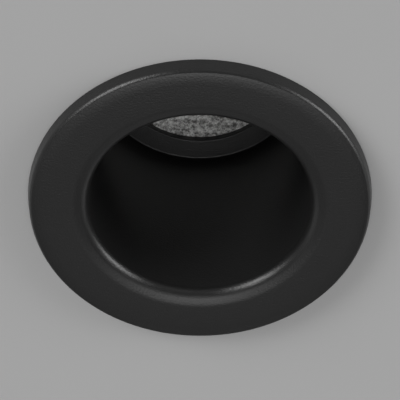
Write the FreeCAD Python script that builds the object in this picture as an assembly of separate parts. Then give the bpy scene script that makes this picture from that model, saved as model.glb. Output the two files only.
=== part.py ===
import FreeCAD, Part
import math
import os
from FreeCAD import Vector

# A fixed soffit downlight. Millimetres, +Z up. The origin is on the lamp axis in the plane of the
# soffit: the flange hangs below it and the can stands above it, and the light leaves towards -Z.

# ---- Driving sizes ----------------------------------------------------------------------------

# recess and lens shelf of the bezel, from the lens outwards
aperture_radius = 21.25
aperture_round = 0.3
shelf_width = 5.45         # from the aperture to the recess wall
shelf_dish = 0.6           # the shelf climbs this much towards the lens
shelf_root_round = 0.5
recess_height = 50.6       # the lens shelf lies this far above the soffit
recess_draft = 1.34        # the recess is this much wider, on the radius, at the soffit
barrel_wall = 1.6
barrel_round = 0.8

# flange of the bezel
face_drop = 4.4            # the flat face lies this far below the soffit
web_wall = 2.1             # the flange is this thick behind its face
web_round = 1.0
skirt_wall = 1.5           # the edge of the flange that meets the soffit
skirt_round = 0.6
side_draft = 9.8           # degrees
crown_slope = 20.0         # degrees, where the face curves away at both edges
outer_crown_width = 4.0
inner_crown_width = 3.2
edge_inset = 1.1           # from the flange's radius to the outer end of the crown
edge_round = 0.9
lip_width = 0.86           # from the recess's mouth to the inner end of the crown
lip_round = 1.2
rim_inset = 2.1            # from the flange's radius to the can's rim

# lens and what holds it
lens_overlap = 2.75        # the lens runs this far behind the shelf
lens_thick = 3.0
lens_chamfer = 0.3
lens_set_back = 2.3        # from the shelf's foot to the front face of the lens
land_gap = 0.1             # the shelf's land stops this short of the glass
land_width = 1.4
gasket_lip = 0.5
gasket_grip = 1.25         # the gasket laps over the lens by this much
gasket_fit = 0.05
pocket_gap = 1.0           # between the lens and the wall of its pocket
pocket_wall = 3.9
pocket_round = 0.4
pocket_step = 1.2
clamp_thick = 0.8
clamp_grip = 2.4
clamp_inset = 0.3
clamp_screw_count = 3
clamp_screw_turn = 30.0    # degrees
clamp_screw_inset = 2.0    # from the pocket to the middle of a screw
clamp_screw_radius = 1.25
clamp_screw_depth = 5.0
clamp_head_radius = 1.8
clamp_head_height = 1.4

# bayonet between bezel and can
lug_count = 3
lug_turn = 90.0            # degrees, where the first lug stands
lug_span = 16.0            # degrees
lug_thick = 2.0
lug_side_gap = 1.4         # from the lugs to the collar
lug_gap = 0.2
gusset_drop = 6.0
gusset_inset = 2.4         # from the lug's end to the gusset's
gusset_span = 4.0          # degrees
tab_width = 2.8
tab_thick = 1.0
tab_height = 7.7

# can
can_wall = 0.8
barrel_gap = 1.3           # between the bezel's pocket and the can
shoulder_width = 6.0       # the collar is this much larger on the radius, for a 75 mm cut-out
shoulder_rise = 3.0
shoulder_round = 1.6
collar_height = 12.6
collar_round = 0.4
rim_width = 3.4
rim_round = 0.3
soffit_gasket_thick = 1.0
soffit_gasket_gap = 1.0    # from the collar to the gasket
bezel_seal_thick = 0.5
bezel_seal_inset = 0.4     # from the collar's bore
bezel_seal_edge = 0.3      # from the rim's edge
cap_wall = 0.8
cap_gap = 0.3              # between the can's end and the cap's plate
cap_fit = 0.05
cap_skirt = 6.2
cap_rivet_count = 3
cap_rivet_drop = 3.0

# rivets
rivet_radius = 1.5
rivet_head_radius = 2.3
rivet_head_height = 1.0
rivet_tail_radius = 2.1
rivet_tail_height = 0.6

# spring clips
pin_stand_off = 3.0        # from the can to the middle of the hinge pin
pin_rise = 9.1             # from the bracket's foot to the hinge pin
pin_radius = 0.9
pin_head_radius = 1.8
pin_head_thick = 0.6
pin_gap = 0.05             # running clearance of the pin in its holes
bracket_half_width = 8.0
bracket_wall = 0.8
bracket_foot_gap = 1.3     # from the shoulder's corner to the bracket
bracket_head = 12.0        # from the hinge pin to the bracket's top
bracket_ear_inner = 6.2
ear_wall = 0.8
ear_radius = 2.0
ear_spread = 6.2           # the ears reach this far up and down the bracket
stop_gap = 0.3
stop_thick = 0.8
stop_overhang = 1.8        # past the hinge pin
rivet_inset = 2.8          # from the bracket's ends
arm_length = 40.0
arm_wall = 0.8
arm_offset = 0.6           # the strip lies this far below the pin's centre
arm_droop = 20.0           # degrees below level against the stop
arm_ear_inner = 4.8
arm_ear_radius = 2.1
arm_ear_front = 2.6
arm_ear_round = 1.6
arm_ear_tail = 3.2         # the ears run this far along the strip
strip_start = 6.5
strip_shoulder = 4.5
strip_taper = 11.0
strip_half_width = 3.6
strip_round = 2.0
strip_corner = 1.0
bead_radius = 1.1
bead_set_back = 2.0
bead_sink = 0.2
pad_length = 15.0
pad_half_width = 4.8
pad_wall = 1.0
pad_overhang = 3.0
pad_corner = 3.0
pad_round = 1.4
spring_wire_radius = 0.45
spring_mean_radius = 1.55
spring_pitch = 1.35
spring_turns = 4
spring_lift = 18.0         # degrees from the arm, where its leg leaves the coil
spring_leg = 9.0
spring_arm_leg = 5.0
spring_seat_gap = 0.2

# lamp
lamp_gap = 0.5             # between the clamp screws and the lamp
lamp_overlap = 3.75        # the lamp runs this far behind the shelf
lamp_length = 47.0
lamp_rim = 6.5
lamp_wall = 1.2
lamp_fit = 0.1
lamp_edge_round = 0.5
lamp_shoulder_round = 4.0
lamp_neck_round = 3.0
lamp_base_step = 0.6
lamp_base_round = 0.8
lamp_base_plug = 3.0       # the base runs this far up the shell's neck
lamp_cone_radius = 15.5
lamp_cone_drop = 3.5
lamp_seat = 2.6            # the ledge that the board rests on
lamp_neck_radius = 13.0
lamp_base_length = 9.8
lamp_cover_thick = 1.8
lamp_cover_inset = 0.4
lamp_board_thick = 1.2
lamp_board_depth = 6.0
lamp_chip_circle = 12.0
lamp_chip_count = 6
lamp_chip_half = 1.4
lamp_chip_thick = 0.7
lamp_pin_circle = 5.0
lamp_pin_radius = 1.5
lamp_pin_head_radius = 2.5
lamp_pin_head_height = 2.2
lamp_pin_length = 7.0
lamp_pin_root = 2.0
lamp_pin_round = 0.6
lamp_turn = 25.0           # degrees from locked to free

# lampholder
holder_gap = 0.3           # between the lamp's base and the holder
holder_height = 13.9
holder_half_length = 13.5
holder_half_width = 9.2
slot_gap = 0.3
cavity_gap = 0.5
cavity_height = 5.3
contact_thick = 0.5
contact_gap = 0.3
contact_margin = 1.0
contact_turn = 4.0         # degrees
holder_screw_reach = 9.0
holder_screw_radius = 1.45
holder_screw_depth = 9.0
holder_screw_room = 3.5    # the holes run this far past the screws
holder_head_radius = 2.7
holder_head_height = 2.0
lead_reach = 3.8
lead_radius = 0.9
lead_hole_radius = 1.3
lead_sink = 2.2            # the leads start this far below the cap
lead_lean = 1.6
lead_sway = 1.0
lead_swing = 0.8
lead_rise = 5.0            # above the box floor, where the leads start to turn
lead_arch = 4.0            # and their climb from there
lead_in = 1.6              # from the terminal block to the last bend

# terminal box
box_room = 5.0             # behind the terminal block
box_front = 15.4
box_wall = 1.8
box_corner = 4.0
box_head_room = 0.7        # between the gland's nut and the lid
lid_thick = 2.0
lid_lip = 1.5
lid_gap = 0.15
lid_post_radius = 3.2
lid_post_inset = 4.6
lid_screw_radius = 1.5
lid_screw_depth = 8.0
lid_head_radius = 2.7
lid_head_height = 1.8
lid_rim_wall = 1.2
hook_half_width = 2.0
hook_place = 8.0
hook_reach = 1.1
hook_height = 1.2
hook_drop = 3.4
hook_gap = 0.3
screw_gap = 0.15           # radial clearance of a screw in a plain hole
grommet_radius = 5.2
grommet_flange = 0.8
grommet_flange_wall = 1.0
grommet_fit = 0.05
block_gap = 1.7            # from a holder screw's head to the terminal block
block_length = 12.6
block_margin = 0.4
block_round = 0.8
block_base = 5.0
block_height = 12.8
pole_pitch = 8.0
pole_half_width = 3.4
tube_height = 5.7          # above the box floor
tube_radius = 2.4
tube_bore = 1.5
tube_inset = 0.6
terminal_screw_radius = 1.3
terminal_screw_spread = 2.8
terminal_screw_well = 0.5
terminal_screw_drop = 1.5
terminal_slot_half = 0.3
terminal_slot_depth = 0.7
earth_x = 4.0
earth_gap = 0.1            # between the earth tag and the box wall
earth_side_gap = 0.3       # between the earth screw and the lampholder
earth_screw_radius = 1.7
earth_screw_depth = 5.5
earth_head_radius = 2.7
earth_head_height = 2.0
earth_tag_radius = 2.9
earth_tag_wall = 0.8
earth_tag_reach = 4.6      # from the screw to the crimped barrel
earth_barrel_radius = 1.4
earth_barrel_length = 4.0
earth_barrel_lift = 1.0
earth_neck_half = 1.3
earth_web_half = 0.9
earth_lead_run = 1.8

# cable gland
gland_offset = 3.2         # from the box's middle
gland_foot_gap = 2.2       # between the box floor and the gland's nut
gland_thread = 6.0
gland_bore = 4.2
gland_hex = 7.4            # half across flats
gland_hex_length = 4.6
gland_seal_radius = 5.0
cable_bore = 3.3
gland_seal_length = 9.0
gland_cap_radius = 7.8
gland_cap_length = 12.0
gland_cap_gap = 0.3
gland_cap_grip = 7.0
gland_cap_round = 1.5
gland_mouth = 4.0
gland_mouth_wall = 1.4
gland_stem = 5.6
gland_seat = 1.4
gland_seal_taper = 1.0
gland_tail = 0.8
gland_nut_thick = 2.8
gland_fit = 0.05

# how far a cutter runs past the face that it cuts, and a joined piece into its neighbour
over = 1.0
bite = 0.4

# ---- Derived sizes ----------------------------------------------------------------------------

recess_end_radius = aperture_radius + shelf_width
recess_mouth_radius = recess_end_radius + recess_draft
lip_radius = recess_mouth_radius + lip_width
lens_radius = aperture_radius + lens_overlap
lamp_radius = aperture_radius + lamp_overlap
pocket_radius = lens_radius + pocket_gap
pocket_outer_radius = pocket_radius + pocket_wall
can_radius = pocket_outer_radius + barrel_gap + can_wall
inner_can = can_radius - can_wall
collar_radius = can_radius + shoulder_width
inner_collar = collar_radius - can_wall
rim_radius = collar_radius + rim_width
flange_radius = rim_radius + rim_inset

face_z = -face_drop
web_z = face_z + web_wall
rim_top_z = -soffit_gasket_thick
rim_low_z = web_z + bezel_seal_thick
shelf_end_z = recess_height + shelf_dish
lens_height = recess_height + lens_set_back
lens_top_z = lens_height + lens_thick
pocket_end_z = lens_top_z + gasket_lip
clamp_top_z = pocket_end_z + clamp_thick
lamp_front_z = clamp_top_z + clamp_head_height + lamp_gap
lamp_base_z = lamp_front_z + lamp_length
holder_low_z = lamp_base_z + holder_gap
cap_plate_z = holder_low_z + holder_height
can_height = cap_plate_z - cap_gap
cap_top_z = cap_plate_z + cap_wall
shoulder_z = collar_height + shoulder_rise

bracket_low = shoulder_z + bracket_foot_gap
pin_reach = can_radius + pin_stand_off
pin_height = bracket_low + pin_rise
bracket_high = pin_height + bracket_head
lower_rivet_height = bracket_low + rivet_inset
upper_rivet_height = bracket_high - rivet_inset

block_front = -holder_screw_reach - holder_head_radius - block_gap
block_back = block_front - block_length
box_back = block_back - box_room
gland_height = box_wall + gland_foot_gap + gland_hex
box_height = gland_height + gland_hex + lid_lip + box_head_room
floor_z = cap_top_z + box_wall
box_top_z = cap_top_z + box_height
tube_z = floor_z + tube_height
gland_z = cap_top_z + gland_height
earth_y = holder_half_width + earth_side_gap + earth_screw_radius
box_half_width = earth_y + earth_tag_radius + earth_gap + box_wall

TINY = 1e-6


# ---- Drawing ----------------------------------------------------------------------------------

def rounded_wire(corners, place):
    """Closed outline through corners (a, b) or (a, b, radius), placed in space by place(a, b)."""
    runs = []
    count = len(corners)
    for i, corner in enumerate(corners):
        here = Vector(corner[0], corner[1], 0)
        if len(corner) < 3:
            runs.append((here, None, here))
            continue
        before = corners[i - 1]
        after = corners[(i + 1) % count]
        way_in = (here - Vector(before[0], before[1], 0)).normalize()
        way_out = (Vector(after[0], after[1], 0) - here).normalize()
        half_turn = way_in.getAngle(way_out) / 2
        back = corner[2] * math.tan(half_turn)
        depth = corner[2] * (1 / math.cos(half_turn) - 1)
        apex = here + (way_out - way_in).normalize() * depth
        runs.append((here - way_in * back, apex, here + way_out * back))
    edges = []
    for i, (start, apex, end) in enumerate(runs):
        if apex is not None:
            edges.append(Part.Arc(place(start), place(apex), place(end)).toShape())
        next_start = runs[(i + 1) % count][0]
        if end.distanceToPoint(next_start) > TINY:
            edges.append(Part.LineSegment(place(end), place(next_start)).toShape())
    return Part.Wire(edges)


def upright(v):
    """A point drawn as (distance from the axis, height)."""
    return Vector(v.x, 0, v.y)


def turned(corners, degrees=360.0):
    """The outline (radius, height) swept round the Z axis."""
    face = Part.Face(rounded_wire(corners, upright))
    return face.revolve(Vector(0, 0, 0), Vector(0, 0, 1), degrees)


def sector(inner, outer, low, high, middle, span):
    """A piece of a ring, from its radii, heights, middle angle and span in degrees."""
    piece = turned([(inner, low), (outer, low), (outer, high), (inner, high)], span)
    piece.rotate(Vector(0, 0, 0), Vector(0, 0, 1), middle - span / 2)
    return piece


def plate(corners, side, thickness):
    """The outline (x, z) made a plate that starts at y = side."""
    face = Part.Face(rounded_wire(corners, upright))
    face.translate(Vector(0, side, 0))
    return face.extrude(Vector(0, thickness, 0))


def prism(corners, low, high):
    """The outline (x, y) raised from low to high."""
    face = Part.Face(rounded_wire(corners, lambda v: Vector(v.x, v.y, low)))
    return face.extrude(Vector(0, 0, high - low))


def block(x0, x1, y0, y1, z0, z1):
    return Part.makeBox(x1 - x0, y1 - y0, z1 - z0, Vector(x0, y0, z0))


def rod(radius, start, end):
    way = end - start
    return Part.makeCylinder(radius, way.Length, start, way)


def upright_rod(radius, x, y, low, high):
    return rod(radius, Vector(x, y, low), Vector(x, y, high))


def hexagon(half_flats, start, end):
    """A hexagonal bar with a flat side upwards."""
    corner = half_flats / math.cos(math.pi / 6)
    way = end - start
    side = Vector(0, 1, 0) if abs(way.y) < TINY else Vector(1, 0, 0)
    up = way.cross(side).normalize()
    points = []
    for i in range(7):
        turn = math.radians(60 * i)
        points.append(start + side * (corner * math.cos(turn)) + up * (corner * math.sin(turn)))
    return Part.Face(Part.makePolygon(points)).extrude(way)


def spun(shape, degrees):
    """A copy turned about the lamp axis."""
    copy = shape.copy()
    copy.rotate(Vector(0, 0, 0), Vector(0, 0, 1), degrees)
    return copy


def ring_of(shape, count, first=0.0):
    return [spun(shape, first + 360.0 * i / count) for i in range(count)]


def joined(shapes):
    whole = shapes[0].fuse(shapes[1:])
    return whole.removeSplitter()


def less(shape, tools):
    return shape.cut(tools).removeSplitter()


def pipe(edges, radius, start, way):
    """A round section carried along edges."""
    path = Part.Wire(edges)
    shell = Part.BRepOffsetAPI.MakePipeShell(path)
    shell.add(Part.Wire(Part.makeCircle(radius, start, way)))
    shell.build()
    shell.makeSolid()
    solid = shell.shape()
    expected = math.pi * radius ** 2 * path.Length
    print("  pipe volume share", round(solid.Volume / expected, 5), "valid", solid.isValid())
    return solid


def bent_edges(points):
    """Straight runs joined by tangent arcs, each as large as its two runs allow."""
    edges = []
    here = points[0]
    tightest = None
    for before, corner, after in zip(points, points[1:], points[2:]):
        way_in = corner - before
        way_out = after - corner
        half_turn = way_in.getAngle(way_out) / 2
        back = 0.45 * min(way_in.Length, way_out.Length)
        radius = back / math.tan(half_turn)
        way_in.normalize()
        way_out.normalize()
        depth = radius * (1 / math.cos(half_turn) - 1)
        start = corner - way_in * back
        end = corner + way_out * back
        apex = corner + (way_out - way_in).normalize() * depth
        edges.append(Part.LineSegment(here, start).toShape())
        edges.append(Part.Arc(start, apex, end).toShape())
        here = end
        tightest = radius if tightest is None else min(tightest, radius)
    edges.append(Part.LineSegment(here, points[-1]).toShape())
    return edges, tightest


def meet(point, degrees, other, other_degrees):
    """Where a line through point crosses a line through other; angles from the radius outwards."""
    ax, az = math.cos(math.radians(degrees)), math.sin(math.radians(degrees))
    bx, bz = math.cos(math.radians(other_degrees)), math.sin(math.radians(other_degrees))
    dx, dz = other[0] - point[0], other[1] - point[1]
    along = (dx * bz - dz * bx) / (ax * bz - az * bx)
    return point[0] + along * ax, point[1] + along * az


nodes = {}


# ---- Bezel: flange, recess, lens shelf and lugs in one casting --------------------------------

def recess_radius(z):
    share = z / recess_height
    return recess_mouth_radius + (recess_end_radius - recess_mouth_radius) * share


def barrel_radius(z):
    return recess_radius(z) + barrel_wall


def bezel_profile():
    half_slope = math.tan(math.radians(crown_slope / 2))
    crown_end = flange_radius - edge_inset
    outer_flat = crown_end - outer_crown_width
    outer_crown_round = outer_crown_width / math.sin(math.radians(crown_slope))
    outer_bend = outer_flat + outer_crown_round * half_slope
    edge = meet((outer_bend, face_z), crown_slope, (flange_radius, 0), 90 - side_draft)
    inner_flat = lip_radius + inner_crown_width
    inner_crown_round = inner_crown_width / math.sin(math.radians(crown_slope))
    inner_bend = inner_flat - inner_crown_round * half_slope
    wall_slope = math.degrees(math.atan2(recess_height, recess_end_radius - recess_mouth_radius))
    lip = meet((inner_bend, face_z), 180 - crown_slope, (recess_mouth_radius, 0), wall_slope)
    land_z = lens_height - land_gap
    land_end = aperture_radius + land_width
    neck_z = recess_height - shelf_dish
    return [
        (flange_radius, 0),
        (edge[0], edge[1], edge_round),
        (outer_bend, face_z, outer_crown_round),
        (inner_bend, face_z, inner_crown_round),
        (lip[0], lip[1], lip_round),
        (recess_end_radius, recess_height, shelf_root_round),
        (aperture_radius, shelf_end_z, aperture_round),
        (aperture_radius, land_z),
        (land_end, land_z),
        (land_end, lens_height - gasket_lip),
        (pocket_radius, lens_height - gasket_lip),
        (pocket_radius, pocket_end_z),
        (pocket_outer_radius, pocket_end_z, pocket_round),
        (pocket_outer_radius, neck_z + pocket_step),
        (barrel_radius(neck_z), neck_z, barrel_round),
        (barrel_radius(web_z), web_z, web_round),
        (flange_radius - skirt_wall, web_z, skirt_round),
        (flange_radius - skirt_wall, 0),
    ]


lug_low_z = tab_height + tab_thick + lug_gap


def bezel_lug():
    inner = barrel_radius(lug_low_z) - barrel_wall / 2
    outer = inner_collar - lug_side_gap
    lug = sector(inner, outer, lug_low_z, lug_low_z + lug_thick, 0, lug_span)
    gusset = turned([
        (inner, lug_low_z - gusset_drop), (outer - gusset_inset, lug_low_z + bite), (inner, lug_low_z + bite),
    ], gusset_span)
    gusset.rotate(Vector(0, 0, 0), Vector(0, 0, 1), -gusset_span / 2)
    return joined([lug, gusset])


clamp_screw_circle = pocket_radius + clamp_screw_inset
clamp_screw_angles = [clamp_screw_turn + 360.0 * i / clamp_screw_count for i in range(clamp_screw_count)]
body = joined([turned(bezel_profile())] + ring_of(bezel_lug(), lug_count, lug_turn))
screw_holes = [
    spun(upright_rod(clamp_screw_radius, clamp_screw_circle, 0,
                     pocket_end_z - clamp_screw_depth, clamp_top_z), angle)
    for angle in clamp_screw_angles
]
nodes["bezel"] = less(body, screw_holes)


# ---- Lens, its U-section gasket, and the clamp behind it --------------------------------------

nodes["lens"] = turned([
    (0, lens_height), (lens_radius - lens_chamfer, lens_height), (lens_radius, lens_height + lens_chamfer),
    (lens_radius, lens_top_z - lens_chamfer), (lens_radius - lens_chamfer, lens_top_z), (0, lens_top_z),
])

gasket_inner_radius = lens_radius - gasket_grip
gasket_outer_radius = pocket_radius - gasket_fit
nodes["lens_gasket"] = turned([
    (gasket_inner_radius, lens_height - gasket_lip), (gasket_outer_radius, lens_height - gasket_lip),
    (gasket_outer_radius, pocket_end_z), (gasket_inner_radius, pocket_end_z),
    (gasket_inner_radius, lens_top_z), (lens_radius - lens_chamfer, lens_top_z),
    (lens_radius, lens_top_z - lens_chamfer), (lens_radius, lens_height + lens_chamfer),
    (lens_radius - lens_chamfer, lens_height), (gasket_inner_radius, lens_height),
])

clamp_inner_radius = lens_radius - clamp_grip
clamp_outer_radius = pocket_outer_radius - clamp_inset
clamp_ring = turned([
    (clamp_inner_radius, pocket_end_z), (clamp_outer_radius, pocket_end_z),
    (clamp_outer_radius, clamp_top_z), (clamp_inner_radius, clamp_top_z),
])
clamp_holes = [
    spun(upright_rod(clamp_screw_radius + screw_gap, clamp_screw_circle, 0,
                     pocket_end_z - over, clamp_top_z + over), angle)
    for angle in clamp_screw_angles
]
nodes["lens_clamp"] = less(clamp_ring, clamp_holes)


def pan_screw(shank_radius, head_radius, head_height, length, tip=0.4):
    """A pan-head screw with its head's underside at z = 0 and its shank down."""
    return turned([
        (0, -length), (shank_radius - tip, -length), (shank_radius, -length + tip), (shank_radius, 0),
        (head_radius, 0), (head_radius, head_height, head_height * 0.6), (0, head_height),
    ])


def placed(shape, x, y, z):
    copy = shape.copy()
    copy.translate(Vector(x, y, z))
    return copy


clamp_screw = pan_screw(clamp_screw_radius, clamp_head_radius, clamp_head_height,
                        clamp_screw_depth + clamp_thick - bite)
nodes["lens_clamp_screws"] = Part.makeCompound([
    spun(placed(clamp_screw, clamp_screw_circle, 0, clamp_top_z), angle) for angle in clamp_screw_angles
])


# ---- Can: rim, collar with bayonet tabs, shoulder and upper wall ------------------------------

can_shell = turned([
    (inner_collar, rim_low_z, rim_round), (rim_radius, rim_low_z), (rim_radius, rim_top_z),
    (collar_radius, rim_top_z, collar_round), (collar_radius, collar_height, shoulder_round),
    (can_radius, shoulder_z, shoulder_round), (can_radius, can_height), (inner_can, can_height),
    (inner_can, shoulder_z - can_wall * 0.6, shoulder_round + can_wall),
    (inner_collar, collar_height - can_wall * 0.6, shoulder_round - can_wall),
])
tab = sector(inner_collar - tab_width, inner_collar + can_wall / 2,
             tab_height, tab_height + tab_thick, 0, lug_span)


def radial_rod(radius, start, end, height):
    """A rod that points away from the lamp axis along +X."""
    return rod(radius, Vector(start, 0, height), Vector(end, 0, height))


clip_angles = {"right": 0.0, "left": 180.0}
bracket_rivet_holes = [
    spun(radial_rod(rivet_radius, inner_can - over, can_radius + over, height), angle)
    for angle in clip_angles.values()
    for height in (lower_rivet_height, upper_rivet_height)
]
cap_rivet_z = can_height - cap_rivet_drop
cap_rivet_hole = radial_rod(rivet_radius, inner_can - over, can_radius + cap_wall + over, cap_rivet_z)
cap_rivet_holes = ring_of(cap_rivet_hole, cap_rivet_count, lug_turn)
nodes["can"] = less(joined([can_shell] + ring_of(tab, lug_count, lug_turn)),
                    bracket_rivet_holes + cap_rivet_holes)

nodes["soffit_gasket"] = turned([
    (collar_radius + soffit_gasket_gap, rim_top_z), (rim_radius, rim_top_z),
    (rim_radius, 0), (collar_radius + soffit_gasket_gap, 0),
])
seal_inner_radius = inner_collar + bezel_seal_inset
seal_outer_radius = rim_radius - bezel_seal_edge
nodes["bezel_seal"] = turned([
    (seal_inner_radius, web_z), (seal_outer_radius, web_z),
    (seal_outer_radius, rim_low_z), (seal_inner_radius, rim_low_z),
])


# ---- Cap of the can, with the holes for the leads and the screws ------------------------------

cap_inner = can_radius + cap_fit
cap_outer = cap_inner + cap_wall
cap_shell = turned([
    (0, cap_plate_z), (cap_inner, cap_plate_z, cap_gap), (cap_inner, can_height - cap_skirt),
    (cap_outer, can_height - cap_skirt), (cap_outer, cap_top_z, cap_gap + cap_wall), (0, cap_top_z),
])


def service_holes(low, high):
    """The holes that the cap and the box floor share."""
    holes = [upright_rod(grommet_radius, 0, 0, low, high)]
    for side in (1, -1):
        holes.append(upright_rod(holder_screw_radius + screw_gap, side * holder_screw_reach, 0, low, high))
    holes.append(upright_rod(earth_screw_radius + screw_gap, earth_x, earth_y, low, high))
    return holes


nodes["can_cap"] = less(cap_shell, service_holes(cap_plate_z - over, cap_top_z + over) + cap_rivet_holes)


# ---- Rivets -----------------------------------------------------------------------------------

def rivet(inner_wall, outer_wall):
    """A rivet along +X through a round wall between two radii, with its head outside."""
    inner_face = math.sqrt(inner_wall ** 2 - rivet_tail_radius ** 2)
    head_z = outer_wall - inner_face
    head_top = head_z + rivet_head_height
    pin = turned([
        (0, -rivet_tail_height), (rivet_tail_radius, -rivet_tail_height, rivet_tail_height / 2),
        (rivet_tail_radius, 0),
        (rivet_radius, 0), (rivet_radius, head_z), (rivet_head_radius, head_z),
        (rivet_head_radius, head_top, rivet_head_height * 0.8), (0, head_top),
    ])
    pin.rotate(Vector(0, 0, 0), Vector(0, 1, 0), 90)
    pin.translate(Vector(inner_face, 0, 0))
    return pin


bracket_rivet = rivet(inner_can, can_radius + bracket_wall)
nodes["bracket_rivets"] = Part.makeCompound([
    spun(placed(bracket_rivet, 0, 0, height), angle)
    for angle in clip_angles.values()
    for height in (lower_rivet_height, upper_rivet_height)
])
nodes["cap_rivets"] = Part.makeCompound(
    ring_of(placed(rivet(inner_can, cap_outer), 0, 0, cap_rivet_z), cap_rivet_count, lug_turn))


# ---- Spring clips: bracket, pin, torsion spring, arm and pad, made at +X ----------------------

def hinge_bar(radius, half_length):
    middle = Vector(pin_reach, 0, pin_height)
    return rod(radius, middle - Vector(0, half_length, 0), middle + Vector(0, half_length, 0))


def clip_bracket():
    half_span = math.degrees(math.asin(bracket_half_width / (can_radius + bracket_wall)))
    back = sector(can_radius, can_radius + bracket_wall, bracket_low, bracket_high, 0, 2 * half_span)
    root = math.sqrt((can_radius + bracket_wall) ** 2 - (bracket_ear_inner + ear_wall) ** 2) - bite / 2
    tip = pin_reach + ear_radius
    corner = 0.95 * ear_radius
    ear_outline = [
        (root, pin_height - ear_spread), (tip, pin_height - ear_radius, corner),
        (tip, pin_height + ear_radius, corner), (root, pin_height + ear_spread),
    ]
    ears = [plate(ear_outline, bracket_ear_inner, ear_wall),
            plate(ear_outline, -bracket_ear_inner - ear_wall, ear_wall)]
    droop = math.radians(arm_droop)
    ear_low = arm_ear_front * math.sin(droop) + arm_ear_radius * math.cos(droop)
    stop_top = pin_height - ear_low - stop_gap
    half_stop = bracket_ear_inner + ear_wall / 2
    stop = block(can_radius + bracket_wall / 2, pin_reach + stop_overhang,
                 -half_stop, half_stop, stop_top - stop_thick, stop_top)
    tools = [hinge_bar(pin_radius + pin_gap, bracket_half_width + over)]
    for height in (lower_rivet_height, upper_rivet_height):
        tools.append(radial_rod(rivet_radius, can_radius - over, can_radius + bracket_wall + over, height))
    return less(joined([back, stop] + ears), tools)


def clip_pin():
    half = bracket_ear_inner + ear_wall + 2 * pin_gap
    shank = hinge_bar(pin_radius, half + pin_head_thick / 2)
    heads = [
        rod(pin_head_radius, Vector(pin_reach, side * half, pin_height),
            Vector(pin_reach, side * (half + pin_head_thick), pin_height))
        for side in (1, -1)
    ]
    return joined([shank] + heads)


def hung(shape):
    """Takes a piece drawn round its hinge pin, arm level along +X, to its place against the stop."""
    copy = shape.copy()
    copy.rotate(Vector(0, 0, 0), Vector(0, 1, 0), arm_droop)
    copy.translate(Vector(pin_reach, 0, pin_height))
    return copy


strip_top = -arm_offset
strip_low = strip_top - arm_wall
pad_end = arm_length + pad_overhang
pad_start = pad_end - pad_length


def clip_arm():
    wide = arm_ear_inner + ear_wall
    r = arm_ear_radius
    corner = 0.95 * r
    ear_end = strip_start + arm_ear_tail
    ear_outline = [
        (-r, -r, corner), (-r, r, corner), (arm_ear_front, r, arm_ear_round), (ear_end, bite, ear_wall / 2),
        (ear_end, strip_low), (arm_ear_front, -r, arm_ear_round),
    ]
    ears = [plate(ear_outline, arm_ear_inner, ear_wall), plate(ear_outline, -wide, ear_wall)]
    shoulder = strip_start + strip_shoulder
    taper_end = strip_start + strip_taper
    plan = [
        (strip_start, -wide), (shoulder, -wide, strip_round), (taper_end, -strip_half_width, strip_round),
        (arm_length, -strip_half_width, strip_corner), (arm_length, strip_half_width, strip_corner),
        (taper_end, strip_half_width, strip_round), (shoulder, wide, strip_round), (strip_start, wide),
    ]
    strip = prism(plan, strip_low, strip_top)
    bead_z = strip_low + bead_sink
    bead_start = Vector(taper_end - bead_set_back, 0, bead_z)
    bead_end = Vector(pad_start - pad_overhang / 2 - bead_set_back, 0, bead_z)
    above_bead = block(0, arm_length, -wide, wide, strip_low + arm_wall / 2, strip_low + wide)
    bead = rod(bead_radius, bead_start, bead_end).cut(above_bead)
    hole = rod(pin_radius + pin_gap, Vector(0, -wide - over, 0), Vector(0, wide + over, 0))
    return hung(less(joined([strip, bead] + ears), [hole]))


def arm_pad():
    low = strip_low - pad_wall
    high = strip_top + pad_wall
    side = [
        (pad_start, low, 0.8 * pad_wall), (pad_end, low, pad_round),
        (pad_end, high, pad_round), (pad_start, high, 0.8 * pad_wall),
    ]
    plan = [
        (pad_start, -pad_half_width), (pad_end, -pad_half_width, pad_corner),
        (pad_end, pad_half_width, pad_corner), (pad_start, pad_half_width),
    ]
    sleeve = plate(side, -pad_half_width, 2 * pad_half_width).common(prism(plan, low - over, high + over))
    slot = prism([
        (pad_start - over, -strip_half_width), (arm_length, -strip_half_width, strip_corner),
        (arm_length, strip_half_width, strip_corner), (pad_start - over, strip_half_width),
    ], strip_low, strip_top)
    return hung(less(sleeve, [slot]))


def biarc(start, start_way, end, end_way):
    """Two tangent arcs from one point and direction to another."""
    span = end - start
    both = start_way + end_way
    a = 4 - both.dot(both)
    b = span.dot(both)
    reach = (-b + math.sqrt(b * b + a * span.dot(span))) / a
    first = start + start_way * reach
    last = end - end_way * reach
    middle = (first + last) * 0.5
    edges = []
    for p, q, r in ((start, first, middle), (middle, last, end)):
        half_turn = (q - p).getAngle(r - q) / 2
        radius = reach / math.tan(half_turn)
        apex = q + ((p + r) * 0.5 - q).normalize() * (radius * (1 / math.cos(half_turn) - 1))
        edges.append(Part.Arc(p, apex, r).toShape())
    return edges


def coil_point(turn, rise):
    """A point of the coil and its direction, with turn in degrees from +X towards +Z."""
    a = math.radians(turn)
    slope = spring_pitch / (2 * math.pi)
    point = Vector(spring_mean_radius * math.cos(a), rise, spring_mean_radius * math.sin(a))
    way = Vector(-spring_mean_radius * math.sin(a), slope, spring_mean_radius * math.cos(a))
    return point, way.normalize()


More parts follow.
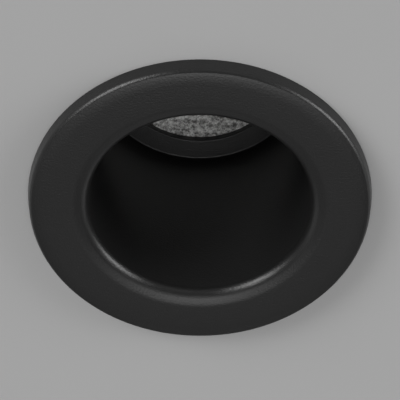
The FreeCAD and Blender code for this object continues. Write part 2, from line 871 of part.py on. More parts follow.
def clip_spring():
    """A torsion spring: one leg up the bracket, the coil round the pin, one leg out on the arm."""
    first_turn = 180.0
    last_turn = first_turn + 360.0 * spring_turns + 90.0 + spring_lift - arm_droop
    whole = last_turn - first_turn
    width = spring_pitch * whole / 360.0
    steps = math.ceil(whole / 90.0)
    stations = []
    for i in range(steps + 1):
        turn = min(first_turn + 90.0 * i, last_turn)
        rise = spring_pitch * (turn - first_turn) / 360.0 - width / 2
        stations.append(coil_point(turn, rise))
    first, first_way = stations[0]
    last, last_way = stations[-1]
    leg_start = first - first_way * spring_leg
    edges = [Part.LineSegment(leg_start, first).toShape()]
    for (p, p_way), (q, q_way) in zip(stations, stations[1:]):
        edges += biarc(p, p_way, q, q_way)
    along = Vector(math.cos(math.radians(arm_droop)), 0, -math.sin(math.radians(arm_droop)))
    off = Vector(math.sin(math.radians(arm_droop)), 0, math.cos(math.radians(arm_droop)))
    seat = strip_top + spring_wire_radius + spring_seat_gap
    run = (seat - last.dot(off)) / last_way.dot(off)
    knee = last + last_way * run
    leg_end = knee + along * spring_arm_leg
    leg_edges, knee_radius = bent_edges([last, knee, leg_end])
    edges += leg_edges
    samples = []
    for i in range(int(whole / 10.0) + 1):
        turn = first_turn + 10.0 * i
        samples.append(coil_point(turn, spring_pitch * (turn - first_turn) / 360.0 - width / 2)[0])
    gap = min(p.distanceToPoint(q) for i, p in enumerate(samples) for q in samples[i + 18:])
    least_gap = gap - 2 * spring_wire_radius
    print("  spring: least gap to itself", round(least_gap, 3), "knee", round(knee_radius, 2))
    spring = pipe(edges, spring_wire_radius, leg_start, first_way)
    spring.translate(Vector(pin_reach, 0, pin_height))
    return spring


clip_pieces = {
    "clip_bracket": clip_bracket(),
    "clip_pin": clip_pin(),
    "clip_spring": clip_spring(),
    "clip_arm": clip_arm(),
    "arm_pad": arm_pad(),
}
for side, angle in clip_angles.items():
    for name, piece in clip_pieces.items():
        nodes[f"{name}_{side}"] = spun(piece, angle)


# ---- Lamp: shell, front cover, board, base and pins -------------------------------------------

shell_top_z = lamp_base_z - lamp_base_length
cone_z = shell_top_z - lamp_cone_drop
ledge_z = lamp_front_z + lamp_board_depth
cover_z = lamp_front_z + lamp_cover_inset
cover_top_z = cover_z + lamp_cover_thick
inner_rim = lamp_radius - lamp_wall
seat_radius = inner_rim - lamp_seat
nodes["lamp_shell"] = turned([
    (inner_rim, lamp_front_z), (lamp_radius, lamp_front_z, lamp_edge_round),
    (lamp_radius, lamp_front_z + lamp_rim, lamp_shoulder_round),
    (lamp_cone_radius, cone_z, lamp_neck_round), (lamp_neck_radius, shell_top_z),
    (lamp_neck_radius - lamp_wall, shell_top_z), (lamp_cone_radius - lamp_wall * 1.2, cone_z),
    (seat_radius, ledge_z + lamp_wall), (seat_radius, ledge_z), (inner_rim, ledge_z),
])
cover_radius = inner_rim - lamp_fit
nodes["lamp_lens"] = turned([
    (0, cover_z), (cover_radius, cover_z, lamp_cover_inset), (cover_radius, cover_top_z), (0, cover_top_z),
])
board_low_z = ledge_z - lamp_board_thick
board_radius = inner_rim - lamp_fit
board = turned([(0, board_low_z), (board_radius, board_low_z), (board_radius, ledge_z), (0, ledge_z)])
chip = block(-lamp_chip_half, lamp_chip_half, -lamp_chip_half, lamp_chip_half,
             board_low_z - lamp_chip_thick, board_low_z)
chips = [chip] + ring_of(placed(chip, lamp_chip_circle, 0, 0), lamp_chip_count)
nodes["lamp_board"] = joined([board] + chips)

pin_root_z = lamp_base_z - lamp_pin_root
pin_top = lamp_pin_root + lamp_pin_length
pin_neck = pin_top - lamp_pin_head_height
lamp_pin = turned([
    (0, 0), (lamp_pin_radius, 0), (lamp_pin_radius, pin_neck), (lamp_pin_head_radius, pin_neck),
    (lamp_pin_head_radius, pin_top, lamp_pin_round), (0, pin_top),
])
lamp_pins = [placed(lamp_pin, 0, side * lamp_pin_circle, pin_root_z) for side in (1, -1)]
nodes["lamp_pins"] = Part.makeCompound(lamp_pins)
plug_radius = lamp_neck_radius - lamp_wall - lamp_fit
base = turned([
    (0, shell_top_z - lamp_base_plug), (plug_radius, shell_top_z - lamp_base_plug),
    (plug_radius, shell_top_z), (lamp_neck_radius, shell_top_z),
    (lamp_neck_radius - lamp_base_step, lamp_base_z, lamp_base_round), (0, lamp_base_z),
])
base_holes = [
    upright_rod(lamp_pin_radius, 0, side * lamp_pin_circle, pin_root_z, lamp_base_z + over)
    for side in (1, -1)
]
nodes["lamp_base"] = less(base, base_holes)


# ---- Lampholder: two keyhole slots, the space where the pin heads turn, and contacts ----------

head_low_z = lamp_base_z + lamp_pin_length - lamp_pin_head_height
head_top_z = lamp_base_z + lamp_pin_length
slot_lip_z = head_low_z - holder_gap
cavity_top_z = slot_lip_z + cavity_height


def arc_slot(half_width, low, high, middle):
    """A slot along the circle of the pins, from its locked end back by the lamp's turn."""
    circle = lamp_pin_circle
    parts = [sector(circle - half_width, circle + half_width, low, high, middle - lamp_turn / 2, lamp_turn)]
    for angle in (middle, middle - lamp_turn):
        parts.append(spun(upright_rod(half_width, circle, 0, low, high), angle))
    return parts


holder_blank = upright_rod(holder_half_length, 0, 0, holder_low_z, cap_plate_z).common(
    block(-holder_half_length, holder_half_length, -holder_half_width, holder_half_width,
          holder_low_z, cap_plate_z))
holder_tools = []
for middle in (90.0, 270.0):
    holder_tools += arc_slot(lamp_pin_radius + slot_gap, holder_low_z - over, slot_lip_z, middle)
    holder_tools += arc_slot(lamp_pin_head_radius + cavity_gap, slot_lip_z, cavity_top_z, middle)
    holder_tools.append(spun(upright_rod(lamp_pin_head_radius + slot_gap, lamp_pin_circle, 0,
                                         holder_low_z - over, slot_lip_z), middle - lamp_turn))
for side in (1, -1):
    holder_tools.append(upright_rod(holder_screw_radius, side * holder_screw_reach, 0,
                                    floor_z - holder_screw_depth - holder_screw_room, cap_top_z))
    holder_tools.append(upright_rod(lead_hole_radius, 0, side * lead_reach, cavity_top_z - over, cap_top_z))
nodes["lampholder"] = less(holder_blank, holder_tools)

contact_z = head_top_z + contact_gap
lead_start_z = cap_plate_z - lead_sink
contacts = []
for middle in (90.0, 270.0):
    leaf = sector(lead_reach - contact_margin, lamp_pin_circle + contact_margin,
                  contact_z, contact_z + contact_thick, middle - lamp_turn / 2 + contact_turn, lamp_turn)
    post = spun(upright_rod(lead_hole_radius - contact_gap, lead_reach, 0, contact_z, lead_start_z), middle)
    contacts.append(joined([leaf, post]))
nodes["holder_contacts"] = Part.makeCompound(contacts)

holder_screw = pan_screw(holder_screw_radius, holder_head_radius, holder_head_height, holder_screw_depth)
nodes["holder_screws"] = Part.makeCompound([
    placed(holder_screw, side * holder_screw_reach, 0, floor_z) for side in (1, -1)
])


# ---- Terminal box, lid and lid screw ----------------------------------------------------------

def box_outline(inset):
    x0, x1, y = box_back + inset, box_front - inset, box_half_width - inset
    r = max(box_corner - inset, bite)
    return [(x0, -y, r), (x1, -y, r), (x1, y, r), (x0, y, r)]


post_x = box_front - lid_post_inset
post_y = -box_half_width + lid_post_inset
gland_start = Vector(box_front, gland_offset, gland_z)
tray_room = prism(box_outline(box_wall), floor_z, box_top_z + over)
tray = prism(box_outline(0), cap_top_z, box_top_z).cut(tray_room)
post = upright_rod(lid_post_radius, post_x, post_y, floor_z - bite, box_top_z)
hook_top = box_top_z - hook_drop + hook_height
hook_low = hook_top - hook_height
box_tools = service_holes(cap_top_z - over, floor_z + over)
box_tools.append(upright_rod(lid_screw_radius, post_x, post_y,
                             box_top_z - lid_screw_depth - over, box_top_z + over))
box_tools.append(rod(gland_thread + gland_fit, gland_start - Vector(box_wall + over, 0, 0),
                     gland_start + Vector(over, 0, 0)))
slot_half = hook_half_width + hook_gap
for side in (1, -1):
    box_tools.append(block(box_back - over, box_back + box_wall + over, side * hook_place - slot_half,
                           side * hook_place + slot_half, hook_low - hook_gap, hook_top + hook_gap))
nodes["terminal_box"] = less(joined([tray, post]), box_tools)

lid_plate = prism(box_outline(0), box_top_z, box_top_z + lid_thick)
inner = box_wall + lid_gap
rim = prism(box_outline(inner), box_top_z - lid_lip, box_top_z + bite).cut(
    prism(box_outline(inner + lid_rim_wall), box_top_z - lid_lip - over, box_top_z + over))
hooks = []
hook_wall = box_back + inner
for side in (1, -1):
    low = side * hook_place - hook_half_width
    high = side * hook_place + hook_half_width
    hooks.append(block(hook_wall, hook_wall + lid_rim_wall, low, high, hook_low, box_top_z + bite))
    hooks.append(block(hook_wall - hook_reach, hook_wall + bite, low, high, hook_low, hook_top))
post_room = upright_rod(lid_post_radius + hook_gap, post_x, post_y, box_top_z - lid_lip - over, box_top_z)
screw_room = upright_rod(lid_screw_radius + screw_gap, post_x, post_y,
                         box_top_z - over, box_top_z + lid_thick + over)
nodes["box_lid"] = less(joined([lid_plate, rim] + hooks), [post_room, screw_room])

lid_screw = pan_screw(lid_screw_radius, lid_head_radius, lid_head_height, lid_screw_depth)
nodes["lid_screw"] = placed(lid_screw, post_x, post_y, box_top_z + lid_thick)


# ---- Grommet, terminal block and its screws ---------------------------------------------------

grommet_neck = grommet_radius - grommet_fit
grommet_edge = grommet_radius + grommet_flange
grommet_top_z = floor_z + grommet_flange_wall
grommet = turned([
    (0, cap_plate_z), (grommet_neck, cap_plate_z), (grommet_neck, floor_z), (grommet_edge, floor_z),
    (grommet_edge, grommet_top_z, grommet_flange_wall / 2), (0, grommet_top_z),
])
grommet_holes = [
    upright_rod(lead_radius + grommet_fit, 0, side * lead_reach, cap_plate_z - over, grommet_top_z + over)
    for side in (1, -1)
]
nodes["lead_grommet"] = less(grommet, grommet_holes)

pole_places = (-pole_pitch, 0.0, pole_pitch)
block_middle = (block_back + block_front) / 2
half_block = pole_pitch + pole_half_width + block_margin
block_top_z = floor_z + block_height
screw_top_z = block_top_z - terminal_screw_drop
block_parts = [block(block_back, block_front, -half_block, half_block, floor_z, floor_z + block_base)]
block_tools = []
tubes = []
screws = []
for y in pole_places:
    low = y - pole_half_width
    high = y + pole_half_width
    block_parts.append(prism([
        (block_back, low, block_round), (block_front, low, block_round),
        (block_front, high, block_round), (block_back, high, block_round),
    ], floor_z + over, block_top_z))
    through = [Vector(block_back - over, y, tube_z), Vector(block_front + over, y, tube_z)]
    block_tools.append(rod(tube_radius, *through))
    tube = rod(tube_radius, Vector(block_back + tube_inset, y, tube_z),
               Vector(block_front - tube_inset, y, tube_z))
    cuts = [rod(tube_bore, *through)]
    for x in (block_middle - terminal_screw_spread, block_middle + terminal_screw_spread):
        well = terminal_screw_radius + terminal_screw_well
        block_tools.append(upright_rod(well, x, y, tube_z + tube_bore, block_top_z + over))
        cuts.append(upright_rod(terminal_screw_radius, x, y, tube_z, tube_z + tube_radius + over))
        shank = upright_rod(terminal_screw_radius, x, y, tube_z + lead_radius + grommet_fit, screw_top_z)
        slot = block(x - well, x + well, y - terminal_slot_half, y + terminal_slot_half,
                     screw_top_z - terminal_slot_depth, screw_top_z + over)
        screws.append(less(shank, [slot]))
    tubes.append(less(tube, cuts))
nodes["terminal_block"] = less(joined(block_parts), block_tools)
nodes["terminal_tubes"] = Part.makeCompound(tubes)
nodes["terminal_screws"] = Part.makeCompound(screws)


# ---- Earth screw and tag ----------------------------------------------------------------------

barrel_z = floor_z + earth_tag_wall + earth_barrel_lift
barrel_start = Vector(earth_x - earth_tag_reach, earth_y, barrel_z)
barrel_end = barrel_start - Vector(earth_barrel_length, 0, 0)
earth_lead_start = barrel_start - Vector(earth_barrel_length / 2, 0, 0)
tag_top_z = floor_z + earth_tag_wall
tag_ring = upright_rod(earth_tag_radius, earth_x, earth_y, floor_z, tag_top_z)
tag_neck = block(barrel_start.x - over, earth_x, earth_y - earth_neck_half, earth_y + earth_neck_half,
                 floor_z, tag_top_z)
tag_barrel = rod(earth_barrel_radius, barrel_start, barrel_end)
tag_web = block(barrel_end.x + bite, barrel_start.x - bite / 2,
                earth_y - earth_web_half, earth_y + earth_web_half, floor_z, barrel_z)
tag_tools = [
    upright_rod(earth_screw_radius + screw_gap, earth_x, earth_y, floor_z - over, tag_top_z + over),
    rod(lead_radius + grommet_fit, earth_lead_start, barrel_end - Vector(over, 0, 0)),
]
nodes["earth_tag"] = less(joined([tag_ring, tag_neck, tag_barrel, tag_web]), tag_tools)
earth_screw = pan_screw(earth_screw_radius, earth_head_radius, earth_head_height, earth_screw_depth)
nodes["earth_screw"] = placed(earth_screw, earth_x, earth_y, tag_top_z)


# ---- Fixed leads, held all the way from the lampholder to the terminals -----------------------

def lead(points):
    edges, tightest = bent_edges(points)
    print("  lead: tightest bend", round(tightest, 2))
    return pipe(edges, lead_radius, points[0], points[1] - points[0])


entry_x = block_front + lead_in
lead_end_x = block_middle + terminal_screw_spread - lead_in
rise_z = floor_z + lead_rise
arch_z = rise_z + lead_arch


def core(side, pole):
    """From the lampholder up through the grommet, over and down into its terminal."""
    start = side * lead_reach
    return lead([
        Vector(0, start, lead_start_z), Vector(0, start, rise_z),
        Vector(-lead_lean, start - lead_sway, arch_z),
        Vector((entry_x - lead_sway) / 2, pole + lead_swing, arch_z),
        Vector(entry_x, pole, tube_z), Vector(lead_end_x, pole, tube_z),
    ])


nodes["live_lead"] = core(-1, -pole_pitch)
nodes["neutral_lead"] = core(1, 0.0)
nodes["earth_lead"] = lead([
    earth_lead_start, barrel_end - Vector(earth_lead_run, 0, 0),
    Vector(entry_x, pole_pitch, tube_z), Vector(lead_end_x, pole_pitch, tube_z),
])


# ---- Cable gland in the front wall of the box -------------------------------------------------

def gland_turned(corners):
    """The outline (radius, distance out of the wall) swept round the gland's axis."""
    piece = turned(corners)
    piece.rotate(Vector(0, 0, 0), Vector(0, 1, 0), 90)
    piece.translate(gland_start)
    return piece


nut_end = -box_wall - gland_nut_thick
seat_x = gland_hex_length + gland_seat
stem_start = nut_end - gland_tail
stem_end = gland_hex_length + gland_stem
seal_end = seat_x + gland_seal_length
cap_start = gland_hex_length + gland_cap_gap
cap_end = cap_start + gland_cap_length
thread_hole = gland_thread + gland_fit
seal_hole = gland_seal_radius + gland_fit
stem = gland_turned([
    (gland_bore, stem_start), (gland_thread, stem_start), (gland_thread, stem_end), (seal_hole, stem_end),
    (seal_hole, seat_x), (gland_bore, seat_x),
])
hex_end = gland_start + Vector(gland_hex_length, 0, 0)
body_hex = hexagon(gland_hex, gland_start, hex_end).cut(
    rod(gland_bore, gland_start - Vector(over, 0, 0), hex_end + Vector(over, 0, 0)))
nodes["gland_body"] = joined([stem, body_hex])
nut_start = gland_start + Vector(nut_end, 0, 0)
lock_nut = hexagon(gland_hex, nut_start, gland_start - Vector(box_wall, 0, 0))
nodes["gland_nut"] = less(lock_nut, [rod(thread_hole, nut_start - Vector(over, 0, 0), gland_start)])
nodes["gland_seal"] = gland_turned([
    (cable_bore, seat_x), (gland_seal_radius, seat_x), (gland_seal_radius, seal_end - gland_seal_taper),
    (gland_seal_radius - gland_seal_taper, seal_end), (cable_bore, seal_end),
])
nodes["gland_cap"] = gland_turned([
    (thread_hole, cap_start), (gland_cap_radius, cap_start, bite),
    (gland_cap_radius, cap_start + gland_cap_grip, gland_cap_round),
    (gland_mouth + gland_mouth_wall, cap_end, bite), (gland_mouth, cap_end),
    (gland_mouth, seal_end + bite / 2),
    (seal_hole, seal_end - gland_seal_taper), (seal_hole, stem_end + bite), (thread_hole, stem_end + bite),
])


# ---- Files ------------------------------------------------------------------------------------

os.makedirs("parts", exist_ok=True)
for name, shape in nodes.items():
    if shape.ShapeType == "Compound" and len(shape.Solids) == 1:
        shape = shape.Solids[0]
    sound = shape.isValid() and len(shape.Solids) > 0
    if not sound:
        print("  NOT SOUND", name)
    shape.exportStep(f"parts/{name}.step")
print(len(nodes), "nodes, flange radius", flange_radius, "total top", box_top_z + lid_thick + lid_head_height)
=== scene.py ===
import math

import bmesh
import bpy
from mathutils import Matrix, Vector


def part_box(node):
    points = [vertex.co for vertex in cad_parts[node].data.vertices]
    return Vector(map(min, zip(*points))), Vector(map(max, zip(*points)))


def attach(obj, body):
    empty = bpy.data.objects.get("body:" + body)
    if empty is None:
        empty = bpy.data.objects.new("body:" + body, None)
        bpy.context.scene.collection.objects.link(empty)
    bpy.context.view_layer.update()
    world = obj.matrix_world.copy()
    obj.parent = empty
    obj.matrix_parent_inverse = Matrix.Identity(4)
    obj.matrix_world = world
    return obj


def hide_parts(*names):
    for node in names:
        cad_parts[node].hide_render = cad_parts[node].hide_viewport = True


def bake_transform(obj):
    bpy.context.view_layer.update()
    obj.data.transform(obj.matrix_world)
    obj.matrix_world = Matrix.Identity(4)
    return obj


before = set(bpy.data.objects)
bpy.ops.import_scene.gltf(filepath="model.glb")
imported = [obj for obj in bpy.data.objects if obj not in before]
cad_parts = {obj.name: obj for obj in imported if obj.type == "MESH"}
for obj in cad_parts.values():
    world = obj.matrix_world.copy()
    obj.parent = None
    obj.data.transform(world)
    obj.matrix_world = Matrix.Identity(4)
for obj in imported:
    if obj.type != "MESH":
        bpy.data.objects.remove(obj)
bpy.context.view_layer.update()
MM = 0.001    # the frame is in metres; sizes below are in mm unless MM stands beside them


# ---- Camera -------------------------------------------------------------------------------------
# The photograph looks up at the fitting from in front and below, through a long lens. The camera
# stands where the flange's near and far edges and the mouth of the recess fall as they do there.

camera_distance = 745.08 * MM
camera_elevation = math.radians(51.41)
camera_side = -1.19 * MM
camera_pitch = math.radians(51.375)
camera_yaw = math.radians(-0.166)
focal_length = 271.1
sensor_width = 36
photo_width = 400
pixels_right = -0.5
pixels_up = 0.45

camera_data = bpy.data.cameras.new("photo_camera")
camera_data.sensor_width = sensor_width
camera_data.lens = focal_length
camera_data.shift_x = pixels_right / photo_width
camera_data.shift_y = pixels_up / photo_width
camera = bpy.data.objects.new("photo_camera", camera_data)
bpy.context.scene.collection.objects.link(camera)
camera.location = (
    camera_side,
    -camera_distance * math.cos(camera_elevation),
    -camera_distance * math.sin(camera_elevation),
)
camera.rotation_euler = (math.radians(90) + camera_pitch, 0, camera_yaw)
bpy.context.scene.camera = camera
bpy.context.scene.view_settings.view_transform = "Standard"


# ---- Soffit -------------------------------------------------------------------------------------
# A smooth painted soffit board with the fitting's round cut-out. It is the floor of this scene, and
# lies above the flange. Seen from the void above it is clear, so the can and the clips show.

cut_out_radius = 37.5
board_reach = 1500.0
board_rings = 24
board_sides = 160


def linear(code):
    """An sRGB hex colour as linear red, green, blue and alpha."""
    channels = [int(code[i:i + 2], 16) / 255 for i in (0, 2, 4)]
    return [c / 12.92 if c <= 0.04045 else ((c + 0.055) / 1.055) ** 2.4 for c in channels] + [1.0]


def add(tree, kind, settings=None, **inputs):
    """Adds a node. Settings are its properties, inputs its sockets: a value, or another's socket."""
    node = tree.nodes.new(kind)
    for name, value in (settings or {}).items():
        setattr(node, name, value)
    for name, value in inputs.items():
        key = int(name[1:]) if name[0] == "_" and name[1:].isdigit() else name.replace("_", " ")
        socket = node.inputs[key]
        if isinstance(value, bpy.types.NodeSocket):
            tree.links.new(value, socket)
        else:
            socket.default_value = value
    return node


def blank_material(name):
    """A new material and its node tree, which is empty."""
    material = bpy.data.materials.new(name)
    material.use_nodes = True
    material.node_tree.nodes.clear()
    return material, material.node_tree


def painted_soffit():
    """Matt emulsion on board: even, with a faint mottle from the roller."""
    material, tree = blank_material("emulsion_on_board")
    place = add(tree, "ShaderNodeTexCoord")
    mottle = add(tree, "ShaderNodeTexNoise", Vector=place.outputs["Object"], Scale=1 / (30 * MM),
                 Detail=3.0)
    tone = add(tree, "ShaderNodeMix", {"data_type": "RGBA"}, Factor=mottle.outputs["Fac"])
    tone.inputs["A"].default_value = linear("B8B8B8")
    tone.inputs["B"].default_value = linear("BABABA")
    paint = add(tree, "ShaderNodeBsdfPrincipled", Base_Color=tone.outputs["Result"], Roughness=0.9)
    paint.inputs["Specular IOR Level"].default_value = 0.2
    side = add(tree, "ShaderNodeNewGeometry")
    clear = add(tree, "ShaderNodeBsdfTransparent")
    mix = add(tree, "ShaderNodeMixShader", _0=side.outputs["Backfacing"], _1=paint.outputs[0],
              _2=clear.outputs[0])
    add(tree, "ShaderNodeOutputMaterial", Surface=mix.outputs[0])
    return material


def linked(name, data):
    """A new object of the scene that shows a mesh, a curve or a light."""
    piece = bpy.data.objects.new(name, data)
    bpy.context.scene.collection.objects.link(piece)
    return piece


def ring_of(shape, radius, height, sides):
    """New corners on a level circle round the lamp axis. Radius and height are in mm."""
    turns = (2 * math.pi * k / sides for k in range(sides))
    return [
        shape.verts.new((radius * MM * math.cos(a), radius * MM * math.sin(a), height * MM)) for a in turns
    ]


def bridge(shape, here, there):
    """Faces all round between two closed loops with the same number of corners."""
    for k in range(len(here)):
        n = (k + 1) % len(here)
        shape.faces.new((here[k], here[n], there[n], there[k]))


def mesh_of(shape, name):
    """The shape as a mesh. The shape itself is freed."""
    mesh = bpy.data.meshes.new(name)
    shape.to_mesh(mesh)
    shape.free()
    return mesh


def soffit_board():
    """The board's underside, in rings that widen outwards from the cut-out."""
    shape = bmesh.new()
    widening = board_reach / cut_out_radius
    rings = [
        ring_of(shape, cut_out_radius * widening ** (i / (board_rings - 1)), 0, board_sides)
        for i in range(board_rings)
    ]
    for inner, outer in zip(rings, rings[1:]):
        bridge(shape, inner, outer)
    mesh = mesh_of(shape, "soffit")
    mesh.materials.append(painted_soffit())
    return linked("soffit", mesh)


soffit_board()


# ---- Light --------------------------------------------------------------------------------------
# A studio drawn as a sky of soft lights: a broad one under the fitting, bright narrow ones low on
# the left and the right, which draw the flange's edge and lip, and faint broad ones round them.
# The void above the soffit has three lamps of its own, for the views of the can.

soft_lights = (
    # direction from the fitting, tightness, brightness
    ((0.00, 0.00, -1.00), 14, 1.8),
    ((0.00, 0.14, -0.99), 36, 0.95),
    ((0.32, -0.19, -0.93), 14, 0.28),
    ((-0.80, -0.50, -0.34), 36, 3.3),
    ((-0.68, -0.65, -0.34), 36, 8.6),
    ((0.92, -0.30, -0.24), 36, 6.2),
    ((0.99, -0.14, -0.07), 36, 5.5),
    ((0.00, 0.91, -0.42), 14, 0.32),
    ((-0.78, 0.45, -0.42), 14, 0.64),
    ((0.70, 0.70, -0.14), 14, 0.68),
    ((0.26, -0.96, -0.14), 14, 0.60),
)

backdrop_tone = "9E9E9E"
void_lamp_size = 900.0
void_lamp_aim = Vector((0, 0, 70))
void_lamps = (
    # name, place, watts
    ("void_lamp_left", (-840, -980, 840), 13),
    ("void_lamp_right", (1120, -560, 700), 9),
    ("void_lamp_back", (140, 1260, 840), 9),
)

world = bpy.data.worlds.new("studio")
bpy.context.scene.world = world
world.use_nodes = True
world_tree = world.node_tree
world_tree.nodes.clear()
sky_place = add(world_tree, "ShaderNodeTexCoord")
glow = None
for way, tightness, brightness in soft_lights:
    aim = Vector(way).normalized()
    facing = add(world_tree, "ShaderNodeVectorMath", {"operation": "DOT_PRODUCT"},
                 _0=sky_place.outputs["Generated"], _1=aim)
    off_axis = add(world_tree, "ShaderNodeMath", {"operation": "SUBTRACT"}, _0=facing.outputs["Value"],
                   _1=1.0)
    fall = add(world_tree, "ShaderNodeMath", {"operation": "MULTIPLY"}, _0=off_axis.outputs[0],
               _1=float(tightness))
    lobe = add(world_tree, "ShaderNodeMath", {"operation": "EXPONENT"}, _0=fall.outputs[0])
    lit = add(world_tree, "ShaderNodeMath", {"operation": "MULTIPLY"}, _0=lobe.outputs[0], _1=brightness)
    if glow is None:
        glow = lit
    else:
        glow = add(world_tree, "ShaderNodeMath", {"operation": "ADD"}, _0=glow.outputs[0], _1=lit.outputs[0])
surround = add(world_tree, "ShaderNodeBackground", Strength=glow.outputs[0])
surround.inputs["Color"].default_value = (1, 1, 1, 1)
backdrop = add(world_tree, "ShaderNodeBackground", Color=linear(backdrop_tone), Strength=1.0)
ray = add(world_tree, "ShaderNodeLightPath")
seen = add(world_tree, "ShaderNodeMixShader", _0=ray.outputs["Is Camera Ray"], _1=surround.outputs[0],
           _2=backdrop.outputs[0])
add(world_tree, "ShaderNodeOutputWorld", Surface=seen.outputs[0])

for name, place, watts in void_lamps:
    lamp_data = bpy.data.lights.new(name, "AREA")
    lamp_data.shape = "SQUARE"
    lamp_data.size = void_lamp_size * MM
    lamp_data.energy = watts
    void_lamp = linked(name, lamp_data)
    void_lamp.location = Vector(place) * MM
    void_lamp.rotation_euler = (void_lamp_aim - Vector(place)).to_track_quat("-Z", "Y").to_euler()


# ---- Bezel --------------------------------------------------------------------------------------
# One die casting: flange, deep recess, lens shelf and the barrel behind it, with three bayonet
# lugs. It is powder coated in a fine matt black that leaves a slight grain.

bezel_low, bezel_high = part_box("bezel")
face_z = bezel_low.z / MM
pocket_end_z = bezel_high.z / MM
lens_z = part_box("lens")[0].z / MM
bezel_sides = 288         # flats round the axis
steps_per_degree = 0.2    # flats along a round of the outline

# flange; slopes and drafts are in degrees
flange_radius = 42.5
flange_wall = 2.1
skirt_wall = 1.5
skirt_round = 0.6
side_draft = 7.0
edge_inset = 1.0
edge_round = 1.7
outer_crown_slope = 11.5
outer_crown_width = 3.3
inner_crown_slope = 15.5
inner_crown_width = 1.45
lip_radius = 30.4
lip_round = 3.0

# recess, shelf and the lens's pocket
recess_mouth_radius = 27.45
recess_end_radius = 26.7
recess_end_z = 50.6
recess_end_round = 0.5
shelf_dish = 0.6
aperture_radius = 21.25
aperture_round = 0.3
land_width = 1.4
land_gap = 0.1
gasket_room = 0.5
pocket_radius = 25.0

# outside of the barrel
barrel_radius = 28.9
barrel_low = 51.2
barrel_round = 0.4
neck_radius = 28.32
neck_z = 50.0
neck_round = 0.8
barrel_foot_radius = 29.7
barrel_foot_round = 1.0

# bayonet lugs, each with a gusset under it; turns and spans are in degrees
lug_count = 3
first_lug = 90.0
lug_low = 8.9
lug_thick = 2.0
lug_root = 28.6
lug_reach = 34.8
lug_span = 16.0
lug_steps = 8
gusset_drop = 6.0
gusset_span = 4.0
gusset_bite = 0.4
gusset_toe = 0.1
gusset_inset = 2.4


def meet(point, degrees, other, other_degrees):
    """Where a line through point crosses a line through other, both in the plane of the outline."""
    ax, az = math.cos(math.radians(degrees)), math.sin(math.radians(degrees))
    bx, bz = math.cos(math.radians(other_degrees)), math.sin(math.radians(other_degrees))
    dx, dz = other[0] - point[0], other[1] - point[1]
    along = (dx * bz - dz * bx) / (ax * bz - az * bx)
    return point[0] + along * ax, point[1] + along * az


def rounded(corners):
    """A closed outline through corners (a, b) or (a, b, radius), its rounds as short chords."""
    points = []
    for i, corner in enumerate(corners):
        here = Vector(corner[:2])
        if len(corner) < 3:
            points.append(here)
            continue
        before = Vector(corners[i - 1][:2])
        after = Vector(corners[(i + 1) % len(corners)][:2])
        way_in = (here - before).normalized()
        way_out = (after - here).normalized()
        turn = way_in.angle_signed(way_out)
        start = here - way_in * corner[2] * math.tan(abs(turn) / 2)
        side = Vector((way_in.y, -way_in.x)) * math.copysign(corner[2], turn)
        steps = max(2, math.ceil(abs(math.degrees(turn)) * steps_per_degree))
        for k in range(steps + 1):
            swing = -turn * k / steps
            spin = Matrix.Rotation(swing, 2)
            points.append(start + side - spin @ side)
    return points


def section_at(shape, profile, turn):
    """New corners of a profile (radius, height) in mm that stands at a turn round the lamp axis."""
    return [shape.verts.new((r * MM * math.cos(turn), r * MM * math.sin(turn), z * MM)) for r, z in profile]


def turned(name, outline, sides):
    """The closed outline (radius, height) in mm, swept round the lamp axis as a closed skin."""
    shape = bmesh.new()
    sections = [section_at(shape, outline, 2 * math.pi * k / sides) for k in range(sides)]
    for here, there in zip(sections, sections[1:] + sections[:1]):
        bridge(shape, here, there)
    bmesh.ops.recalc_face_normals(shape, faces=shape.faces)
    return mesh_of(shape, name)


def bezel_outline():
    """Half of the bezel's section: its face and recess, then back down the barrel to the skirt."""
    outer_flat = flange_radius - edge_inset - outer_crown_width
    outer_round = outer_crown_width / math.sin(math.radians(outer_crown_slope))
    outer_bend = outer_flat + outer_round * math.tan(math.radians(outer_crown_slope / 2))
    edge = meet((outer_bend, face_z), outer_crown_slope, (flange_radius, 0), 90 - side_draft)
    inner_flat = lip_radius + inner_crown_width
    inner_round = inner_crown_width / math.sin(math.radians(inner_crown_slope))
    inner_bend = inner_flat - inner_round * math.tan(math.radians(inner_crown_slope / 2))
    wall_slope = math.degrees(math.atan2(recess_end_z, recess_end_radius - recess_mouth_radius))
    lip = meet((inner_bend, face_z), 180 - inner_crown_slope, (recess_mouth_radius, 0), wall_slope)
    land_radius = aperture_radius + land_width
    land_z = lens_z - land_gap
    pocket_z = lens_z - gasket_room
    web_z = face_z + flange_wall
    skirt_radius = flange_radius - skirt_wall
    return rounded([
        (flange_radius, 0), (*edge, edge_round), (outer_bend, face_z, outer_round),
        (inner_bend, face_z, inner_round), (*lip, lip_round),
        (recess_end_radius, recess_end_z, recess_end_round),
        (aperture_radius, recess_end_z + shelf_dish, aperture_round),
        (aperture_radius, land_z), (land_radius, land_z), (land_radius, pocket_z),
        (pocket_radius, pocket_z), (pocket_radius, pocket_end_z),
        (barrel_radius, pocket_end_z, barrel_round), (barrel_radius, barrel_low),
        (neck_radius, neck_z, neck_round), (barrel_foot_radius, web_z, barrel_foot_round),
        (skirt_radius, web_z, skirt_round), (skirt_radius, 0),
    ])


def powder_coat():
    """Polyester powder coat, matt black: dull sheen, fine grain about 0.45 mm across."""
    material, tree = blank_material("powder_coat_matt_black")
    place = add(tree, "ShaderNodeTexCoord")
    grain = add(tree, "ShaderNodeTexNoise", Vector=place.outputs["Object"], Scale=1 / (0.45 * MM),
                Detail=2.0)
    bump = add(tree, "ShaderNodeBump", Height=grain.outputs["Fac"], Strength=0.6, Distance=0.1 * MM)
    paint = add(tree, "ShaderNodeBsdfPrincipled", Base_Color=linear("1E1E1E"), Roughness=0.32,
                Normal=bump.outputs[0])
    add(tree, "ShaderNodeOutputMaterial", Surface=paint.outputs[0])
    return material


